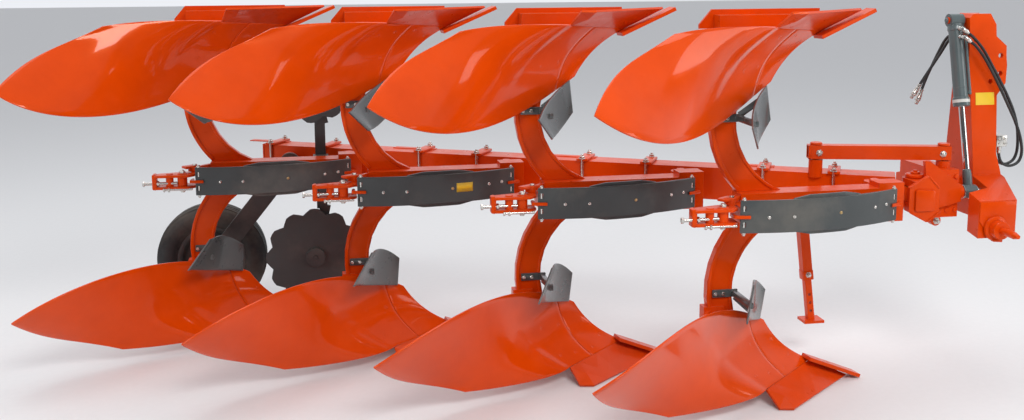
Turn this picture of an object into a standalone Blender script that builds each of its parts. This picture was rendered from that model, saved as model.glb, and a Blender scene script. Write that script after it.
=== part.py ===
"""Four-furrow mounted reversible moldboard plough, standing parked on its lower bodies.

Modelled with +X forward (the way it is drawn), +Y to the left and +Z up, in metres.
While it is being built, x = y = 0 is the point of the front lower share and z = 0 the ground.
At the end a root empty moves the whole plough so that its box is centred over the origin.
"""
import math

import bmesh
import bpy
from mathutils import Matrix, Vector

# Driving dimensions
BODIES = 4
BODY_PITCH = 0.85            # from share point to share point, along the travel direction
FURROW = 0.45                # from landside to landside, across the travel direction
AXIS_Z = 0.93                # turning axis above the sole of the lower bodies
AXIS_Y = 0.20                # turning axis, left of the front landside
GAP = 0.0003                 # between pieces that seat on each other
RUN = 0.005                  # between pieces that move past each other

# Main beam: a box section, parallel to the line through the share points
BEAM_SET = 0.172             # from that line to the beam's centre line
BEAM_W = 0.15
BEAM_H = 0.17
BEAM_NOSE_X = 0.30           # front pivot of the beam
BEAM_REAR_X = -2.95
NOSE_R = 0.06
LUG_H = 0.07                 # height of the lugs that the leg carriers pivot on
PIN_R = 0.02
PIN_FIT = 0.0005

# Leg carriers, with the leaf springs of the automatic trip beside them
CARRIER_REAR = -0.70
CARRIER_FRONT = 0.02
CARRIER_Y = (-0.16, -0.045)
CARRIER_H = 0.14
CARRIER_PIVOT = (0.06, 0.0)
PIVOT_R = 0.05
KNUCKLE = (0.0, 0.13, -0.16, -0.062)
KNUCKLE_H = 0.19
FORK_H = 0.034
SPRING_REAR = (-0.764, -0.319)
SPRING_FRONT = (0.069, -0.206)
SPRING_BOW = 0.07
SPRING_H = 0.152
LEAF_T = 0.014
SHORT_LEAF_H = 0.185
SHORT_LEAF = (0.30, 0.72)    # where the short leaf starts and ends along the long one

# Legs: curved plates, bowed to the rear
LEG_T = 0.04
LEG_Y = -0.075
LEG_W = 0.127
LEG_BOW = 0.184
LEG_REAR = -0.836            # rearmost line of the leg
LEG_TOP = 0.03               # where the leg's arc starts, from the beam's middle
LEG_FOOT = 0.12              # where it ends, above the sole

# Share, moldboard and landside: points are (x, y, height above the sole)
SHIN_FOOT = (-0.253, -0.016, 0.108)
SHIN_TOP = (-0.521, -0.054, 0.343)
TAIL = (-1.588, -0.864, 0.365)
HEEL = (-1.151, -0.510, 0.083)
WING = (-0.591, -0.272, 0.078)
SHIN_BEND = ((-0.371, -0.025, 0.164), (-0.451, -0.031, 0.226))
TOP_BEND = ((-0.882, -0.195, 0.565), (-1.270, -0.960, 0.592))
REAR_BEND = ((-1.378, -0.608, 0.192), (-1.470, -0.673, 0.198))
BOTTOM_BEND = ((-0.674, -0.387, 0.065), (-0.975, -0.415, 0.048))
BOARD_T = 0.009
BOARD_HOLLOW = 0.03          # how far the face dips behind a plain blend of its edges
BOARD_COLS = 14
BOARD_ROWS = 7
SHARE_T = 0.012
SHARE_WING = ((-0.559, -0.354), (-0.490, -0.365))
SHARE_NOSE = (-0.050, -0.012)
POINT_REAR = (-0.290, -0.050, 0.135)
POINT_TIP = (0.0, -0.010, 0.012)
POINT_W = 0.075
POINT_T = 0.018
LANDSIDE_T = 0.016
LANDSIDE_H = 0.09
LANDSIDE_X = (-0.87, -0.27)

# Trash board in front of each moldboard
TRASH_LOW = ((-0.785, -0.490, 0.488), (-0.735, -0.345, 0.444), (-0.657, -0.208, 0.401),
             (-0.554, -0.085, 0.357))
TRASH_HIGH = ((-0.684, -0.315, 0.610), (-0.660, -0.235, 0.618), (-0.608, -0.160, 0.588),
              (-0.544, -0.116, 0.517))
TRASH_LIP = Vector((-0.012, -0.028, 0.004))
TRASH_T = 0.008
TRASH_ARM = (-0.700, 0.505)     # along the plough and above the sole

# Headstock and turning gear
CYL_X = 0.575
CYL_TOP_Z = 1.78
CYL_ARM = 0.20               # radius of the turning arm
BARREL_R = 0.036
ROD_R = 0.0155
EYE_R = 0.034
BARREL_L = 0.44
ARM_X = (0.500, 0.530)
SHAFT_R = 0.037
HOUSING_R = 0.10
HEAD_X = (0.375, 0.500)
CROSS_X = (0.515, 0.640, 0.715, 0.800)
CROSS_HALF = 0.39            # from the turning axis to the shoulder of a lower link pin
CROSS_Z = (0.735, 0.920, 0.995)
TOWER_TOP = 1.815
TOWER_Y = (0.13, 0.06)       # half widths at foot and top
LINK_PIN_X = 0.60
LINK_PIN_Z = 0.785
LINK_PIN_L = 0.19

# Width link above the beam
LINK_REAR = (-0.155, 0.205)
LINK_FRONT = (0.455, 0.045)
LINK_Z = (1.090, 1.160)
LINK_W = 0.06

# Parking stand
STAND_X = -0.195
STAND_Y = 0.285
STAND_LEAN = math.radians(7)
SLEEVE = 0.05
STAND_BAR = 0.036
SLEEVE_END = 0.43            # above the sole
STAND_FOOT = 0.21

# Depth wheel and disc coulters at the rear
WHEEL_C = (-3.32, 1.755)
WHEEL_R = 0.325
WHEEL_W = 0.20
RIM_R = 0.20
ARM_PIVOT = (-2.83, 1.505)
WHEEL_ARM_T = 0.025
WHEEL_ARM_W = 0.11
DISC_C = (-2.696, 1.370)
DISC_H = 0.393
DISC_R = 0.285
DISC_T = 0.006
DISC_NOTCHES = 12

# Hoses
HOSE_R = 0.0075
VALVE_Y = (0.085, 0.315)
VALVE_Z = (1.135, 1.195)
VALVE_FRONT = 0.835
TOWER_FRONT = ((0.772, 1.10), (0.780, 1.40))
ELBOW_R = 0.010
ELBOWS = ((0.575, 0.126, 1.742), (0.575, 0.101, 1.700))
COUPLER_R = 0.015
COUPLER_L = 0.085
HOOK = (0.665, 0.345, 1.687)    # tip of the bar that the supply hoses hang over
HOOK_R = 0.008

# Routes of the hoses, from port to port or from port to coupler
HOSES = {
    "cylinder_hose_near": [(0.603, 0.118, 1.718), (0.6275, 0.111, 1.697), (0.676, 0.101, 1.640),
                           (0.726, 0.095, 1.560),
                           (0.776, 0.092, 1.478), (0.826, 0.094, 1.395), (0.870, 0.101, 1.315),
                           (0.903, 0.112, 1.235),
                           (0.921, 0.124, 1.160), (0.924, 0.132, 1.095), (0.9063, 0.136, 1.0522),
                           (0.8635, 0.138, 1.0345),
                           (0.8207, 0.138, 1.0522), (0.803, 0.138, 1.095), (0.803, 0.138, 1.1347)],
    "cylinder_hose_far": [(0.603, 0.093, 1.676), (0.6275, 0.086, 1.655), (0.672, 0.077, 1.597),
                          (0.722, 0.070, 1.515),
                          (0.770, 0.067, 1.430), (0.815, 0.067, 1.350), (0.862, 0.073, 1.270),
                          (0.903, 0.084, 1.190),
                          (0.928, 0.096, 1.108), (0.9165, 0.101, 1.0525), (0.870, 0.104, 1.031),
                          (0.8225, 0.104, 1.0497),
                          (0.803, 0.104, 1.095), (0.803, 0.104, 1.1347)],
    "supply_hose_near": [(0.803, 0.262, 1.1953), (0.803, 0.263, 1.240), (0.806, 0.275, 1.310),
                         (0.807, 0.290, 1.390),
                         (0.803, 0.296, 1.470), (0.788, 0.296, 1.545), (0.762, 0.294, 1.612),
                         (0.730, 0.291, 1.6683),
                         (0.7025, 0.289, 1.6958), (0.665, 0.287, 1.7058), (0.6275, 0.288, 1.6958),
                         (0.600, 0.290, 1.6683),
                         (0.567, 0.295, 1.611), (0.534, 0.303, 1.554), (0.501, 0.311, 1.497),
                         (0.4685, 0.318, 1.441)],
    "supply_hose_far": [(0.803, 0.296, 1.1953), (0.803, 0.297, 1.240), (0.806, 0.309, 1.310),
                        (0.807, 0.322, 1.390),
                        (0.803, 0.328, 1.470), (0.788, 0.328, 1.545), (0.762, 0.326, 1.612),
                        (0.730, 0.323, 1.6683),
                        (0.7025, 0.321, 1.6958), (0.665, 0.319, 1.7058), (0.6275, 0.320, 1.6958),
                        (0.600, 0.322, 1.6683),
                        (0.570, 0.327, 1.606), (0.544, 0.335, 1.540), (0.520, 0.343, 1.475),
                        (0.500, 0.349, 1.412)],
}

COLOURS = {
    "orange": ((0.75, 0.09, 0.01), 0.30, 0.0),
    "dark": ((0.045, 0.05, 0.052), 0.55, 0.2),
    "steel": ((0.60, 0.60, 0.60), 0.25, 1.0),
    "rubber": ((0.015, 0.015, 0.016), 0.75, 0.0),
    "cylinder": ((0.06, 0.08, 0.08), 0.40, 0.1),
}

collection = None


def clear_scene():
    """Empty the scene and make the collection and the materials."""
    global collection
    for obj in list(bpy.data.objects):
        bpy.data.objects.remove(obj, do_unlink=True)
    collection = bpy.data.collections.new("moldboard_plough")
    bpy.context.scene.collection.children.link(collection)


def material_for(name, colour):
    """A Principled material of the part's own."""
    base, rough, metal = COLOURS[colour]
    material = bpy.data.materials.new(name)
    material.use_nodes = True
    shader = material.node_tree.nodes["Principled BSDF"]
    shader.inputs["Base Color"].default_value = (*base, 1.0)
    shader.inputs["Roughness"].default_value = rough
    shader.inputs["Metallic"].default_value = metal
    return material


def mesh_object(name, bm):
    """Turn a bmesh into an object in the plough's collection."""
    mesh = bpy.data.meshes.new(name)
    bm.normal_update()
    bm.to_mesh(mesh)
    bm.free()
    obj = bpy.data.objects.new(name, mesh)
    collection.objects.link(obj)
    return obj


def box(lo, hi, turn=None, name="piece"):
    """A box between two corners, turned about its own centre if asked."""
    bm = bmesh.new()
    bmesh.ops.create_cube(bm, size=1.0)
    lo, hi = Vector(lo), Vector(hi)
    size = hi - lo
    bmesh.ops.scale(bm, vec=size, verts=bm.verts)
    if turn:
        bmesh.ops.rotate(bm, cent=(0, 0, 0), matrix=turn, verts=bm.verts)
    bmesh.ops.translate(bm, vec=(lo + hi) / 2, verts=bm.verts)
    return mesh_object(name, bm)


def bar(p, q, width, height, name="piece", up=(0, 0, 1)):
    """A rectangular bar from p to q; height is measured towards up."""
    p, q = Vector(p), Vector(q)
    along = (q - p).normalized()
    side = Vector(up).cross(along).normalized()
    top = along.cross(side)
    bm = bmesh.new()
    bmesh.ops.create_cube(bm, size=1.0)
    bmesh.ops.scale(bm, vec=((q - p).length, width, height), verts=bm.verts)
    turn = Matrix((along, side, top)).transposed()
    bmesh.ops.rotate(bm, cent=(0, 0, 0), matrix=turn, verts=bm.verts)
    bmesh.ops.translate(bm, vec=(p + q) / 2, verts=bm.verts)
    return mesh_object(name, bm)


def rod(p, q, radius, sides=20, radius_end=None, name="piece"):
    """A round bar, or a cone, from p to q."""
    p, q = Vector(p), Vector(q)
    axis = q - p
    bm = bmesh.new()
    bmesh.ops.create_cone(bm, cap_ends=True, segments=sides, radius1=radius,
                          radius2=radius if radius_end is None else radius_end, depth=axis.length)
    turn = Vector((0, 0, 1)).rotation_difference(axis).to_matrix()
    bmesh.ops.rotate(bm, cent=(0, 0, 0), matrix=turn, verts=bm.verts)
    bmesh.ops.translate(bm, vec=(p + q) / 2, verts=bm.verts)
    return mesh_object(name, bm)


def to_mesh(obj):
    """Replace a curve, or an object with modifiers, by its finished mesh."""
    bpy.context.view_layer.update()
    graph = bpy.context.evaluated_depsgraph_get()
    mesh = bpy.data.meshes.new_from_object(obj.evaluated_get(graph))
    bm = bmesh.new()
    bm.from_mesh(mesh)
    bmesh.ops.remove_doubles(bm, verts=bm.verts, dist=0.00001)
    bm.to_mesh(mesh)
    bm.free()
    made = bpy.data.objects.new(obj.name, mesh)
    made.matrix_world = obj.matrix_world
    collection.objects.link(made)
    bpy.data.objects.remove(obj, do_unlink=True)
    return made


def plate(outline, lo, hi, plane="XZ", name="piece"):
    """A flat plate: an outline in the plane, from lo to hi along the third axis."""
    curve = bpy.data.curves.new(name, "CURVE")
    curve.dimensions = "2D"
    curve.fill_mode = "BOTH"
    curve.extrude = (hi - lo) / 2
    spline = curve.splines.new("POLY")
    spline.points.add(len(outline) - 1)
    for point, (a, b) in zip(spline.points, outline):
        point.co = (a, b, 0, 1)
    spline.use_cyclic_u = True
    obj = bpy.data.objects.new(name, curve)
    collection.objects.link(obj)
    middle = (lo + hi) / 2
    turns = {"XY": Matrix.Identity(4), "XZ": Matrix.Rotation(math.pi / 2, 4, "X"),
             "YZ": Matrix.Rotation(math.pi / 2, 4, "Z") @ Matrix.Rotation(math.pi / 2, 4, "X")}
    shift = {"XY": (0, 0, middle), "XZ": (0, middle, 0), "YZ": (middle, 0, 0)}
    obj.matrix_world = Matrix.Translation(shift[plane]) @ turns[plane]
    made = to_mesh(obj)
    made.data.transform(made.matrix_world)
    made.matrix_world = Matrix.Identity(4)
    return made


def combine(first, others, operation):
    """Join, cut or intersect solids with a Boolean, and keep the result as a mesh."""
    for other in others:
        modifier = first.modifiers.new("shape", "BOOLEAN")
        modifier.operation = operation
        modifier.solver = "EXACT"
        modifier.object = other
    made = to_mesh(first)
    for other in others:
        bpy.data.objects.remove(other, do_unlink=True)
    return made


def fuse(first, *others):
    """One solid from several that overlap."""
    return combine(first, others, "UNION")


def cut(first, *others):
    """Take solids away from the first."""
    return combine(first, others, "DIFFERENCE")


def finish(obj, name, colour, parent, smooth=False):
    """Name a finished solid, colour it and hang it on its empty."""
    obj.name = name
    obj.data.name = name
    obj.data.materials.clear()
    obj.data.materials.append(material_for(name, colour))
    if smooth:
        obj.data.shade_smooth()
        obj.data.set_sharp_from_angle(angle=math.radians(35))
    obj.parent = parent
    obj.location = -parent.matrix_world.translation
    return obj


def empty(name, place, parent=None):
    """An empty on a joint's axis."""
    obj = bpy.data.objects.new(name, None)
    obj.empty_display_size = 0.1
    collection.objects.link(obj)
    obj.parent = parent
    obj.location = Vector(place) - (parent.matrix_world.translation if parent else Vector())
    bpy.context.view_layer.update()
    return obj


# Places that several pieces share

def beam_direction():
    """Unit vector along the beam, front to rear."""
    return Vector((-BODY_PITCH, FURROW, 0)).normalized()


def beam_side():
    """Unit vector across the beam, towards the land side."""
    along = beam_direction()
    return Vector((-along.y, along.x, 0)) * -1


def beam_point(x, z=AXIS_Z):
    """The point of the beam's centre line at x."""
    along = beam_direction()
    start = beam_side() * BEAM_SET
    reach = (x - start.x) / along.x
    point = start + along * reach
    return Vector((point.x, point.y, z))


def body_origin(index):
    """Share point of a body, in plan."""
    return Vector((-BODY_PITCH * index, FURROW * index, 0))


def on_body(index, side, point):
    """A point given as (x, y, height above the sole), on a lower (-1) or upper (+1) body."""
    origin = body_origin(index)
    return Vector((origin.x + point[0], origin.y + point[1], AXIS_Z + side * (AXIS_Z - point[2])))


def bezier(a, b, c, d, t):
    """Cubic curve through a and d."""
    a, b, c, d = Vector(a), Vector(b), Vector(c), Vector(d)
    s = 1 - t
    return a * s ** 3 + b * (3 * s * s * t) + c * (3 * s * t * t) + d * t ** 3


# Soil-engaging parts

def board_edge_bottom(u):
    """Lower edge of the moldboard: along the share, then to the heel."""
    share_part = 0.4
    if u < share_part:
        return Vector(SHIN_FOOT).lerp(Vector(WING), u / share_part)
    return bezier(WING, *BOTTOM_BEND, HEEL, (u - share_part) / (1 - share_part))


def board_point(u, v):
    """Face of the moldboard: its four edges blended, dipped in the middle."""
    bottom = board_edge_bottom(u)
    top = bezier(SHIN_TOP, *TOP_BEND, TAIL, u)
    front = bezier(SHIN_FOOT, *SHIN_BEND, SHIN_TOP, v)
    rear = bezier(HEEL, *REAR_BEND, TAIL, v)
    corners = (Vector(SHIN_FOOT) * (1 - u) * (1 - v) + Vector(HEEL) * u * (1 - v)
               + Vector(SHIN_TOP) * (1 - u) * v + Vector(TAIL) * u * v)
    face = bottom * (1 - v) + top * v + front * (1 - u) + rear * u - corners
    dip = BOARD_HOLLOW * math.sin(math.pi * u) * math.sin(math.pi * v)
    return face + Vector((-0.35, 0.8, -0.45)).normalized() * dip


def sheet(grid, side, index, behind, ahead, name):
    """A closed sheet about a grid of face points: so far behind its face and so far ahead of it."""
    rows, cols = len(grid), len(grid[0])
    bm = bmesh.new()
    verts = [[bm.verts.new(on_body(index, side, p)) for p in row] for row in grid]
    for r in range(rows - 1):
        for c in range(cols - 1):
            ring = [verts[r][c], verts[r][c + 1], verts[r + 1][c + 1], verts[r + 1][c]]
            bm.faces.new(ring if side < 0 else ring[::-1])
    bmesh.ops.triangulate(bm, faces=bm.faces)
    obj = mesh_object(name, bm)
    solid = obj.modifiers.new("thickness", "SOLIDIFY")
    solid.thickness = behind + ahead
    solid.offset = (ahead - behind) / (behind + ahead)
    solid.use_even_offset = False
    return to_mesh(obj)


def grown(grid, reach=0.001):
    """The same grid with its rim moved outwards, for the room that a sheet needs."""
    rows = [[Vector(p) for p in row] for row in grid]
    for row in rows:
        row[0] = row[0] + (row[0] - row[1]).normalized() * reach
        row[-1] = row[-1] + (row[-1] - row[-2]).normalized() * reach
    first = [a + (a - b).normalized() * reach for a, b in zip(rows[0], rows[1])]
    last = [a + (a - b).normalized() * reach for a, b in zip(rows[-1], rows[-2])]
    return [first] + rows[1:-1] + [last]


def board_grid(cols=BOARD_COLS, rows=BOARD_ROWS):
    """Face points of the moldboard, row by row from the bottom, rear to front."""
    return [[board_point(1 - c / cols, r / rows) for c in range(cols + 1)] for r in range(rows + 1)]


def share_grid(cols=6, lift=0.0):
    """Face points of the share: its cutting edge and its joint with the moldboard."""
    edge = [(*SHARE_WING[0], SHARE_T), (*SHARE_WING[1], SHARE_T)]
    nose = (*SHARE_NOSE, SHARE_T)
    joint = 0.0006
    rows = []
    for r in range(3):
        row = []
        for c in range(cols + 1):
            t = c / cols
            top = Vector(WING).lerp(Vector(SHIN_FOOT), t)
            low = Vector(edge[0]) if c == 0 else Vector(edge[1]).lerp(Vector(nose), (c - 1) / (cols - 1))
            top = top + (low - top).normalized() * joint
            row.append(low.lerp(top, r / 2))
        rows.append(row)
    return rows


def make_moldboard(index, side, name, parent):
    """The curved board that turns the furrow slice."""
    obj = sheet(board_grid(), side, index, BOARD_T, 0.0, name)
    return finish(obj, name, "orange", parent, smooth=True)


def make_share(index, side, name, parent):
    """The share, with its reversible point bar on the landside end."""
    blade = sheet(share_grid(), side, index, SHARE_T, 0.0, name)
    rear, tip = on_body(index, side, POINT_REAR), on_body(index, side, POINT_TIP)
    point = bar(rear, tip, POINT_W, POINT_T, up=(0, 0, -side))
    board = sheet(grown(board_grid(), 0.0005), side, index, BOARD_T + GAP, GAP, "board space")
    return finish(largest(cut(fuse(blade, point), board)), name, "orange", parent)


def leg_arc():
    """Centre and outer radius of the leg's arc: (x, distance from the beam's middle, radius)."""
    half = (AXIS_Z - LEG_FOOT - LEG_TOP) / 2
    radius = (half ** 2 + LEG_BOW ** 2) / (2 * LEG_BOW)
    return LEG_REAR + radius, LEG_TOP + half, radius, half


def leg_outline():
    """Side outline of a leg, with heights measured from the beam's middle."""
    x, z, radius, half = leg_arc()
    inner = radius - LEG_W
    start = z - CARRIER_H / 2 - GAP
    stop = math.asin(half / radius)
    points = []
    for r, order in ((radius, 1), (inner, -1)):
        low = -math.asin(start / r)
        angles = [low + (stop - low) * k / 10 for k in range(11)]
        points += [(x - r * math.cos(a), z + r * math.sin(a)) for a in angles[::order]]
    return points


def make_leg(index, side, name, parent):
    """Curved leg with its frog, landside and the stay behind the moldboard."""
    origin = body_origin(index)
    place = [(origin.x + x, AXIS_Z + side * z) for x, z in leg_outline()]
    y = origin.y + LEG_Y
    leg = plate(place, y - LEG_T / 2, y + LEG_T / 2, name=name)
    frog = [(-0.80, 0.025), (-0.80, 0.09), (-0.70, 0.23), (-0.52, 0.23), (-0.42, 0.15), (-0.32, 0.085),
            (-0.32, 0.025)]
    frog = [(origin.x + x, AXIS_Z + side * (AXIS_Z - z)) for x, z in frog]
    frog = plate(frog, y - LEG_T / 2 - 0.001, origin.y - LANDSIDE_T / 2)
    sole = 0.0
    rear, front = LANDSIDE_X
    rail = [(rear + 0.06, sole), (front, sole), (front, LANDSIDE_H), (rear, LANDSIDE_H),
            (rear, LANDSIDE_H - 0.02)]
    rail = [(origin.x + x, AXIS_Z + side * (AXIS_Z - z)) for x, z in rail]
    rail = plate(rail, origin.y - LANDSIDE_T, origin.y)
    stay = bar(on_body(index, side, (-0.80, LEG_Y, 0.40)), on_body(index, side, (-1.12, -0.44, 0.36)),
               0.016, 0.05)
    clamp = box(*corners(on_body(index, side, (-0.80, LEG_Y, 0.40)), (0.10, LEG_T + 0.02, 0.08)))
    body = fuse(leg, frog, rail, stay, clamp)
    board = sheet(grown(board_grid()), side, index, BOARD_T + GAP, 0.05, "board space")
    share = sheet(grown(share_grid()), side, index, SHARE_T + GAP, 0.05, "share space")
    point = bar(on_body(index, side, POINT_REAR) + Vector((-0.01, 0, 0)), on_body(index, side, POINT_TIP),
                POINT_W + 0.002, POINT_T + 2 * GAP, up=(0, 0, -side))
    body = cut(body, board, share, point)
    return finish(largest(body), name, "orange", parent, smooth=True)


def corners(centre, size):
    """Lowest and highest corners of a box about a centre."""
    half = Vector(size) / 2
    return Vector(centre) - half, Vector(centre) + half


def largest(obj):
    """Keep the largest loose shell of a solid."""
    bm = bmesh.new()
    bm.from_mesh(obj.data)
    left = set(bm.verts)
    shells = []
    while left:
        stack = [left.pop()]
        shell = set(stack)
        while stack:
            for edge in stack.pop().link_edges:
                for vert in edge.verts:
                    if vert in left:
                        left.discard(vert)
                        shell.add(vert)
                        stack.append(vert)
        shells.append(shell)
    keep = max(shells, key=len)
    bmesh.ops.delete(bm, geom=[v for v in bm.verts if v not in keep], context="VERTS")
    bm.to_mesh(obj.data)
    bm.free()
    return obj


def make_trash_board(index, side, name, parent):
    """Curved trash board above the front of the moldboard, carried by an arm from the leg."""
    rows, cols = 4, 8
    grid = [[bezier(*TRASH_LOW, c / cols).lerp(bezier(*TRASH_HIGH, c / cols),
                                               r / rows) for c in range(cols + 1)]
            for r in range(rows + 1)]
    grid = [[row[0] + TRASH_LIP] + row for row in grid]
    board = sheet(grid, side, index, TRASH_T, 0.0, name)
    x, z = TRASH_ARM
    face = bezier(*TRASH_LOW, (x - TRASH_LOW[0][0]) / (TRASH_LOW[3][0] - TRASH_LOW[0][0]))
    seat = LEG_Y - LEG_T / 2 - GAP
    arm = bar(on_body(index, side, (x, face.y + 0.004, z)), on_body(index, side, (x, seat - 0.004, z)),
              0.03, 0.03)
    foot = box(*corners(on_body(index, side, (x - 0.045, seat - 0.006, z)), (0.13, 0.012, 0.04)))
    return finish(fuse(board, arm, foot), name, "dark", parent, smooth=True)


# Leg carriers and leaf springs

def spring_band(start, stop, front, back, origin):
    """Plan outline of a leaf: part of the spring's arc, between two distances behind its face."""
    rear, fore = Vector(SPRING_REAR), Vector(SPRING_FRONT)
    chord = fore - rear
    length = chord.length
    radius = (length ** 2 / 4 + SPRING_BOW ** 2) / (2 * SPRING_BOW)
    across = Vector((-chord.y, chord.x)) / length
    centre = (rear + fore) / 2 + across * (radius - SPRING_BOW)
    half = math.asin(length / 2 / radius)
    lean = math.atan2(chord.y, chord.x)
    points = []
    for inset, order in ((front, 1), (back, -1)):
        angles = [-math.pi / 2 + lean + half * (2 * (start + (stop - start) * k / 12) - 1) for k in range(13)][::order]
        points += [(origin.x + centre.x + (radius - inset) * math.cos(a),
                    origin.y + centre.y + (radius - inset) * math.sin(a)) for a in angles]
    return points


def make_spring(index, name, parent):
    """Leaf spring of the automatic trip: a long leaf with a taller short one behind."""
    origin = body_origin(index)
    long_leaf = plate(spring_band(0, 1, 0, LEAF_T, origin), AXIS_Z - SPRING_H / 2, AXIS_Z + SPRING_H / 2,
                      "XY")
    short_leaf = plate(spring_band(*SHORT_LEAF, LEAF_T - 0.001, 2 * LEAF_T, origin),
                       AXIS_Z - SHORT_LEAF_H / 2, AXIS_Z + SHORT_LEAF_H / 2, "XY")
    return finish(fuse(long_leaf, short_leaf), name, "dark", parent, smooth=True)


def make_carrier(index, name, parent):
    """Leg carrier: arm, knuckle, fork on the beam's lug, and the seats of the spring's ends."""
    origin = body_origin(index)
    half = CARRIER_H / 2
    arm = box((origin.x + CARRIER_REAR, origin.y + CARRIER_Y[0], AXIS_Z - half),
              (origin.x + CARRIER_FRONT, origin.y + CARRIER_Y[1], AXIS_Z + half))
    x0, x1, y0, y1 = KNUCKLE
    knuckle = box((origin.x + x0, origin.y + y0, AXIS_Z - KNUCKLE_H / 2),
                  (origin.x + x1, origin.y + y1, AXIS_Z + KNUCKLE_H / 2))
    px, py = origin.x + CARRIER_PIVOT[0], origin.y + CARRIER_PIVOT[1]
    inner = LUG_H / 2 + RUN
    forks = []
    for side in (-1, 1):
        lo, hi = sorted((AXIS_Z + side * inner, AXIS_Z + side * (inner + FORK_H)))
        forks.append(box((px - PIVOT_R + 0.002, origin.y + y0 + 0.02, lo), (px + PIVOT_R - 0.002, py, hi)))
        forks.append(rod((px, py, lo), (px, py, hi), PIVOT_R, 24))
    pin = rod((px, py, AXIS_Z - inner - FORK_H - 0.01), (px, py, AXIS_Z + inner + FORK_H + 0.01), PIN_R, 16)
    rear = box((origin.x + SPRING_REAR[0] + 0.015, origin.y + SPRING_REAR[1] - 0.02, AXIS_Z - 0.035),
               (origin.x + SPRING_REAR[0] + 0.075, origin.y + CARRIER_Y[0] + 0.01, AXIS_Z + 0.035))
    front = box((origin.x + SPRING_FRONT[0] - 0.06, origin.y + SPRING_FRONT[1] - 0.02, AXIS_Z - 0.035),
                (origin.x + SPRING_FRONT[0] - 0.02, origin.y + CARRIER_Y[0] + 0.01, AXIS_Z + 0.035))
    solid = fuse(arm, knuckle, *forks, pin, rear, front)
    space = plate(spring_band(0, 1, -0.08, LEAF_T + GAP, origin), AXIS_Z - 0.2, AXIS_Z + 0.2, "XY")
    return finish(largest(cut(solid, space)), name, "orange", parent, smooth=True)


# Beam and turning head

def make_beam(parent):
    """Main beam with the carriers' lugs, nose lug, link post, stand sleeve and wheel bracket."""
    along = beam_direction()
    nose = beam_point(BEAM_NOSE_X)
    front = nose + along * (NOSE_R + 0.035)
    rear = beam_point(BEAM_REAR_X)
    beam = bar(front, rear, BEAM_W, BEAM_H)
    half = LUG_H / 2
    adds = [bar(front + along * 0.05, nose, 2 * NOSE_R, LUG_H),
            rod(nose - Vector((0, 0, half)), nose + Vector((0, 0, half)), NOSE_R, 28)]
    bores = [rod(nose - Vector((0, 0, 0.1)), nose + Vector((0, 0, 0.1)), PIN_R + PIN_FIT, 16)]
    for index in range(BODIES):
        origin = body_origin(index)
        pivot = Vector((origin.x + CARRIER_PIVOT[0], origin.y + CARRIER_PIVOT[1], AXIS_Z))
        adds.append(bar(pivot, pivot + beam_side() * 0.12, 2 * PIVOT_R - 0.01, LUG_H))
        adds.append(rod(pivot - Vector((0, 0, half)), pivot + Vector((0, 0, half)), PIVOT_R - 0.005, 24))
        bores.append(rod(pivot - Vector((0, 0, 0.1)), pivot + Vector((0, 0, 0.1)), PIN_R + PIN_FIT, 16))
    top = AXIS_Z + BEAM_H / 2
    post = Vector((*LINK_REAR, 0))
    adds.append(rod(post + Vector((0, 0, top - 0.02)), post + Vector((0, 0, LINK_Z[0] - RUN)), 0.035, 20))
    adds.append(rod(post + Vector((0, 0, LINK_Z[0] - 0.03)), post + Vector((0, 0, LINK_Z[1] + 0.01)), 0.012,
                    12))
    lean = Vector((math.sin(STAND_LEAN), 0, -math.cos(STAND_LEAN)))
    start = Vector((STAND_X, STAND_Y, AXIS_Z - BEAM_H / 2 + 0.02))
    reach = (start.z - SLEEVE_END) / math.cos(STAND_LEAN)
    adds.append(bar(start, start + lean * reach, SLEEVE, SLEEVE, up=(0, 1, 0)))
    pivot = Vector((ARM_PIVOT[0], ARM_PIVOT[1], AXIS_Z))
    boss_end = Vector((pivot.x, beam_point(pivot.x).y, AXIS_Z))
    adds.append(rod(pivot + Vector((0, WHEEL_ARM_T + RUN, 0)), boss_end, 0.05, 20))
    adds.append(rod(pivot + Vector((0, -0.012, 0)), boss_end, PIN_R, 16))
    solid = fuse(beam, *adds)
    hollow = bar(start + lean * 0.06, start + lean * (reach + 0.02), STAND_BAR + 2 * PIN_FIT,
                 STAND_BAR + 2 * PIN_FIT, up=(0, 1, 0))
    return finish(cut(solid, hollow, *bores), "main_beam", "orange", parent, smooth=True)


def make_stand(parent):
    """Sliding bar of the parking stand, with its foot plate and pin holes."""
    lean = Vector((math.sin(STAND_LEAN), 0, -math.cos(STAND_LEAN)))
    start = Vector((STAND_X, STAND_Y, AXIS_Z - BEAM_H / 2 + 0.02))
    reach = (start.z - STAND_FOOT) / math.cos(STAND_LEAN)
    foot = start + lean * reach
    bar_part = bar(start + lean * 0.20, foot, STAND_BAR, STAND_BAR, up=(0, 1, 0))
    pad = box((foot.x - 0.05, foot.y - 0.045, foot.z - 0.012),
              (foot.x + 0.06, foot.y + 0.045, foot.z + 0.002))
    holes = []
    for k in range(3):
        spot = start + lean * (reach - 0.05 - 0.045 * k)
        holes.append(rod(spot + Vector((0, -0.05, 0)), spot + Vector((0, 0.05, 0)), 0.008, 12))
    return finish(cut(fuse(bar_part, pad), *holes), "parking_stand", "orange", parent)


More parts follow.
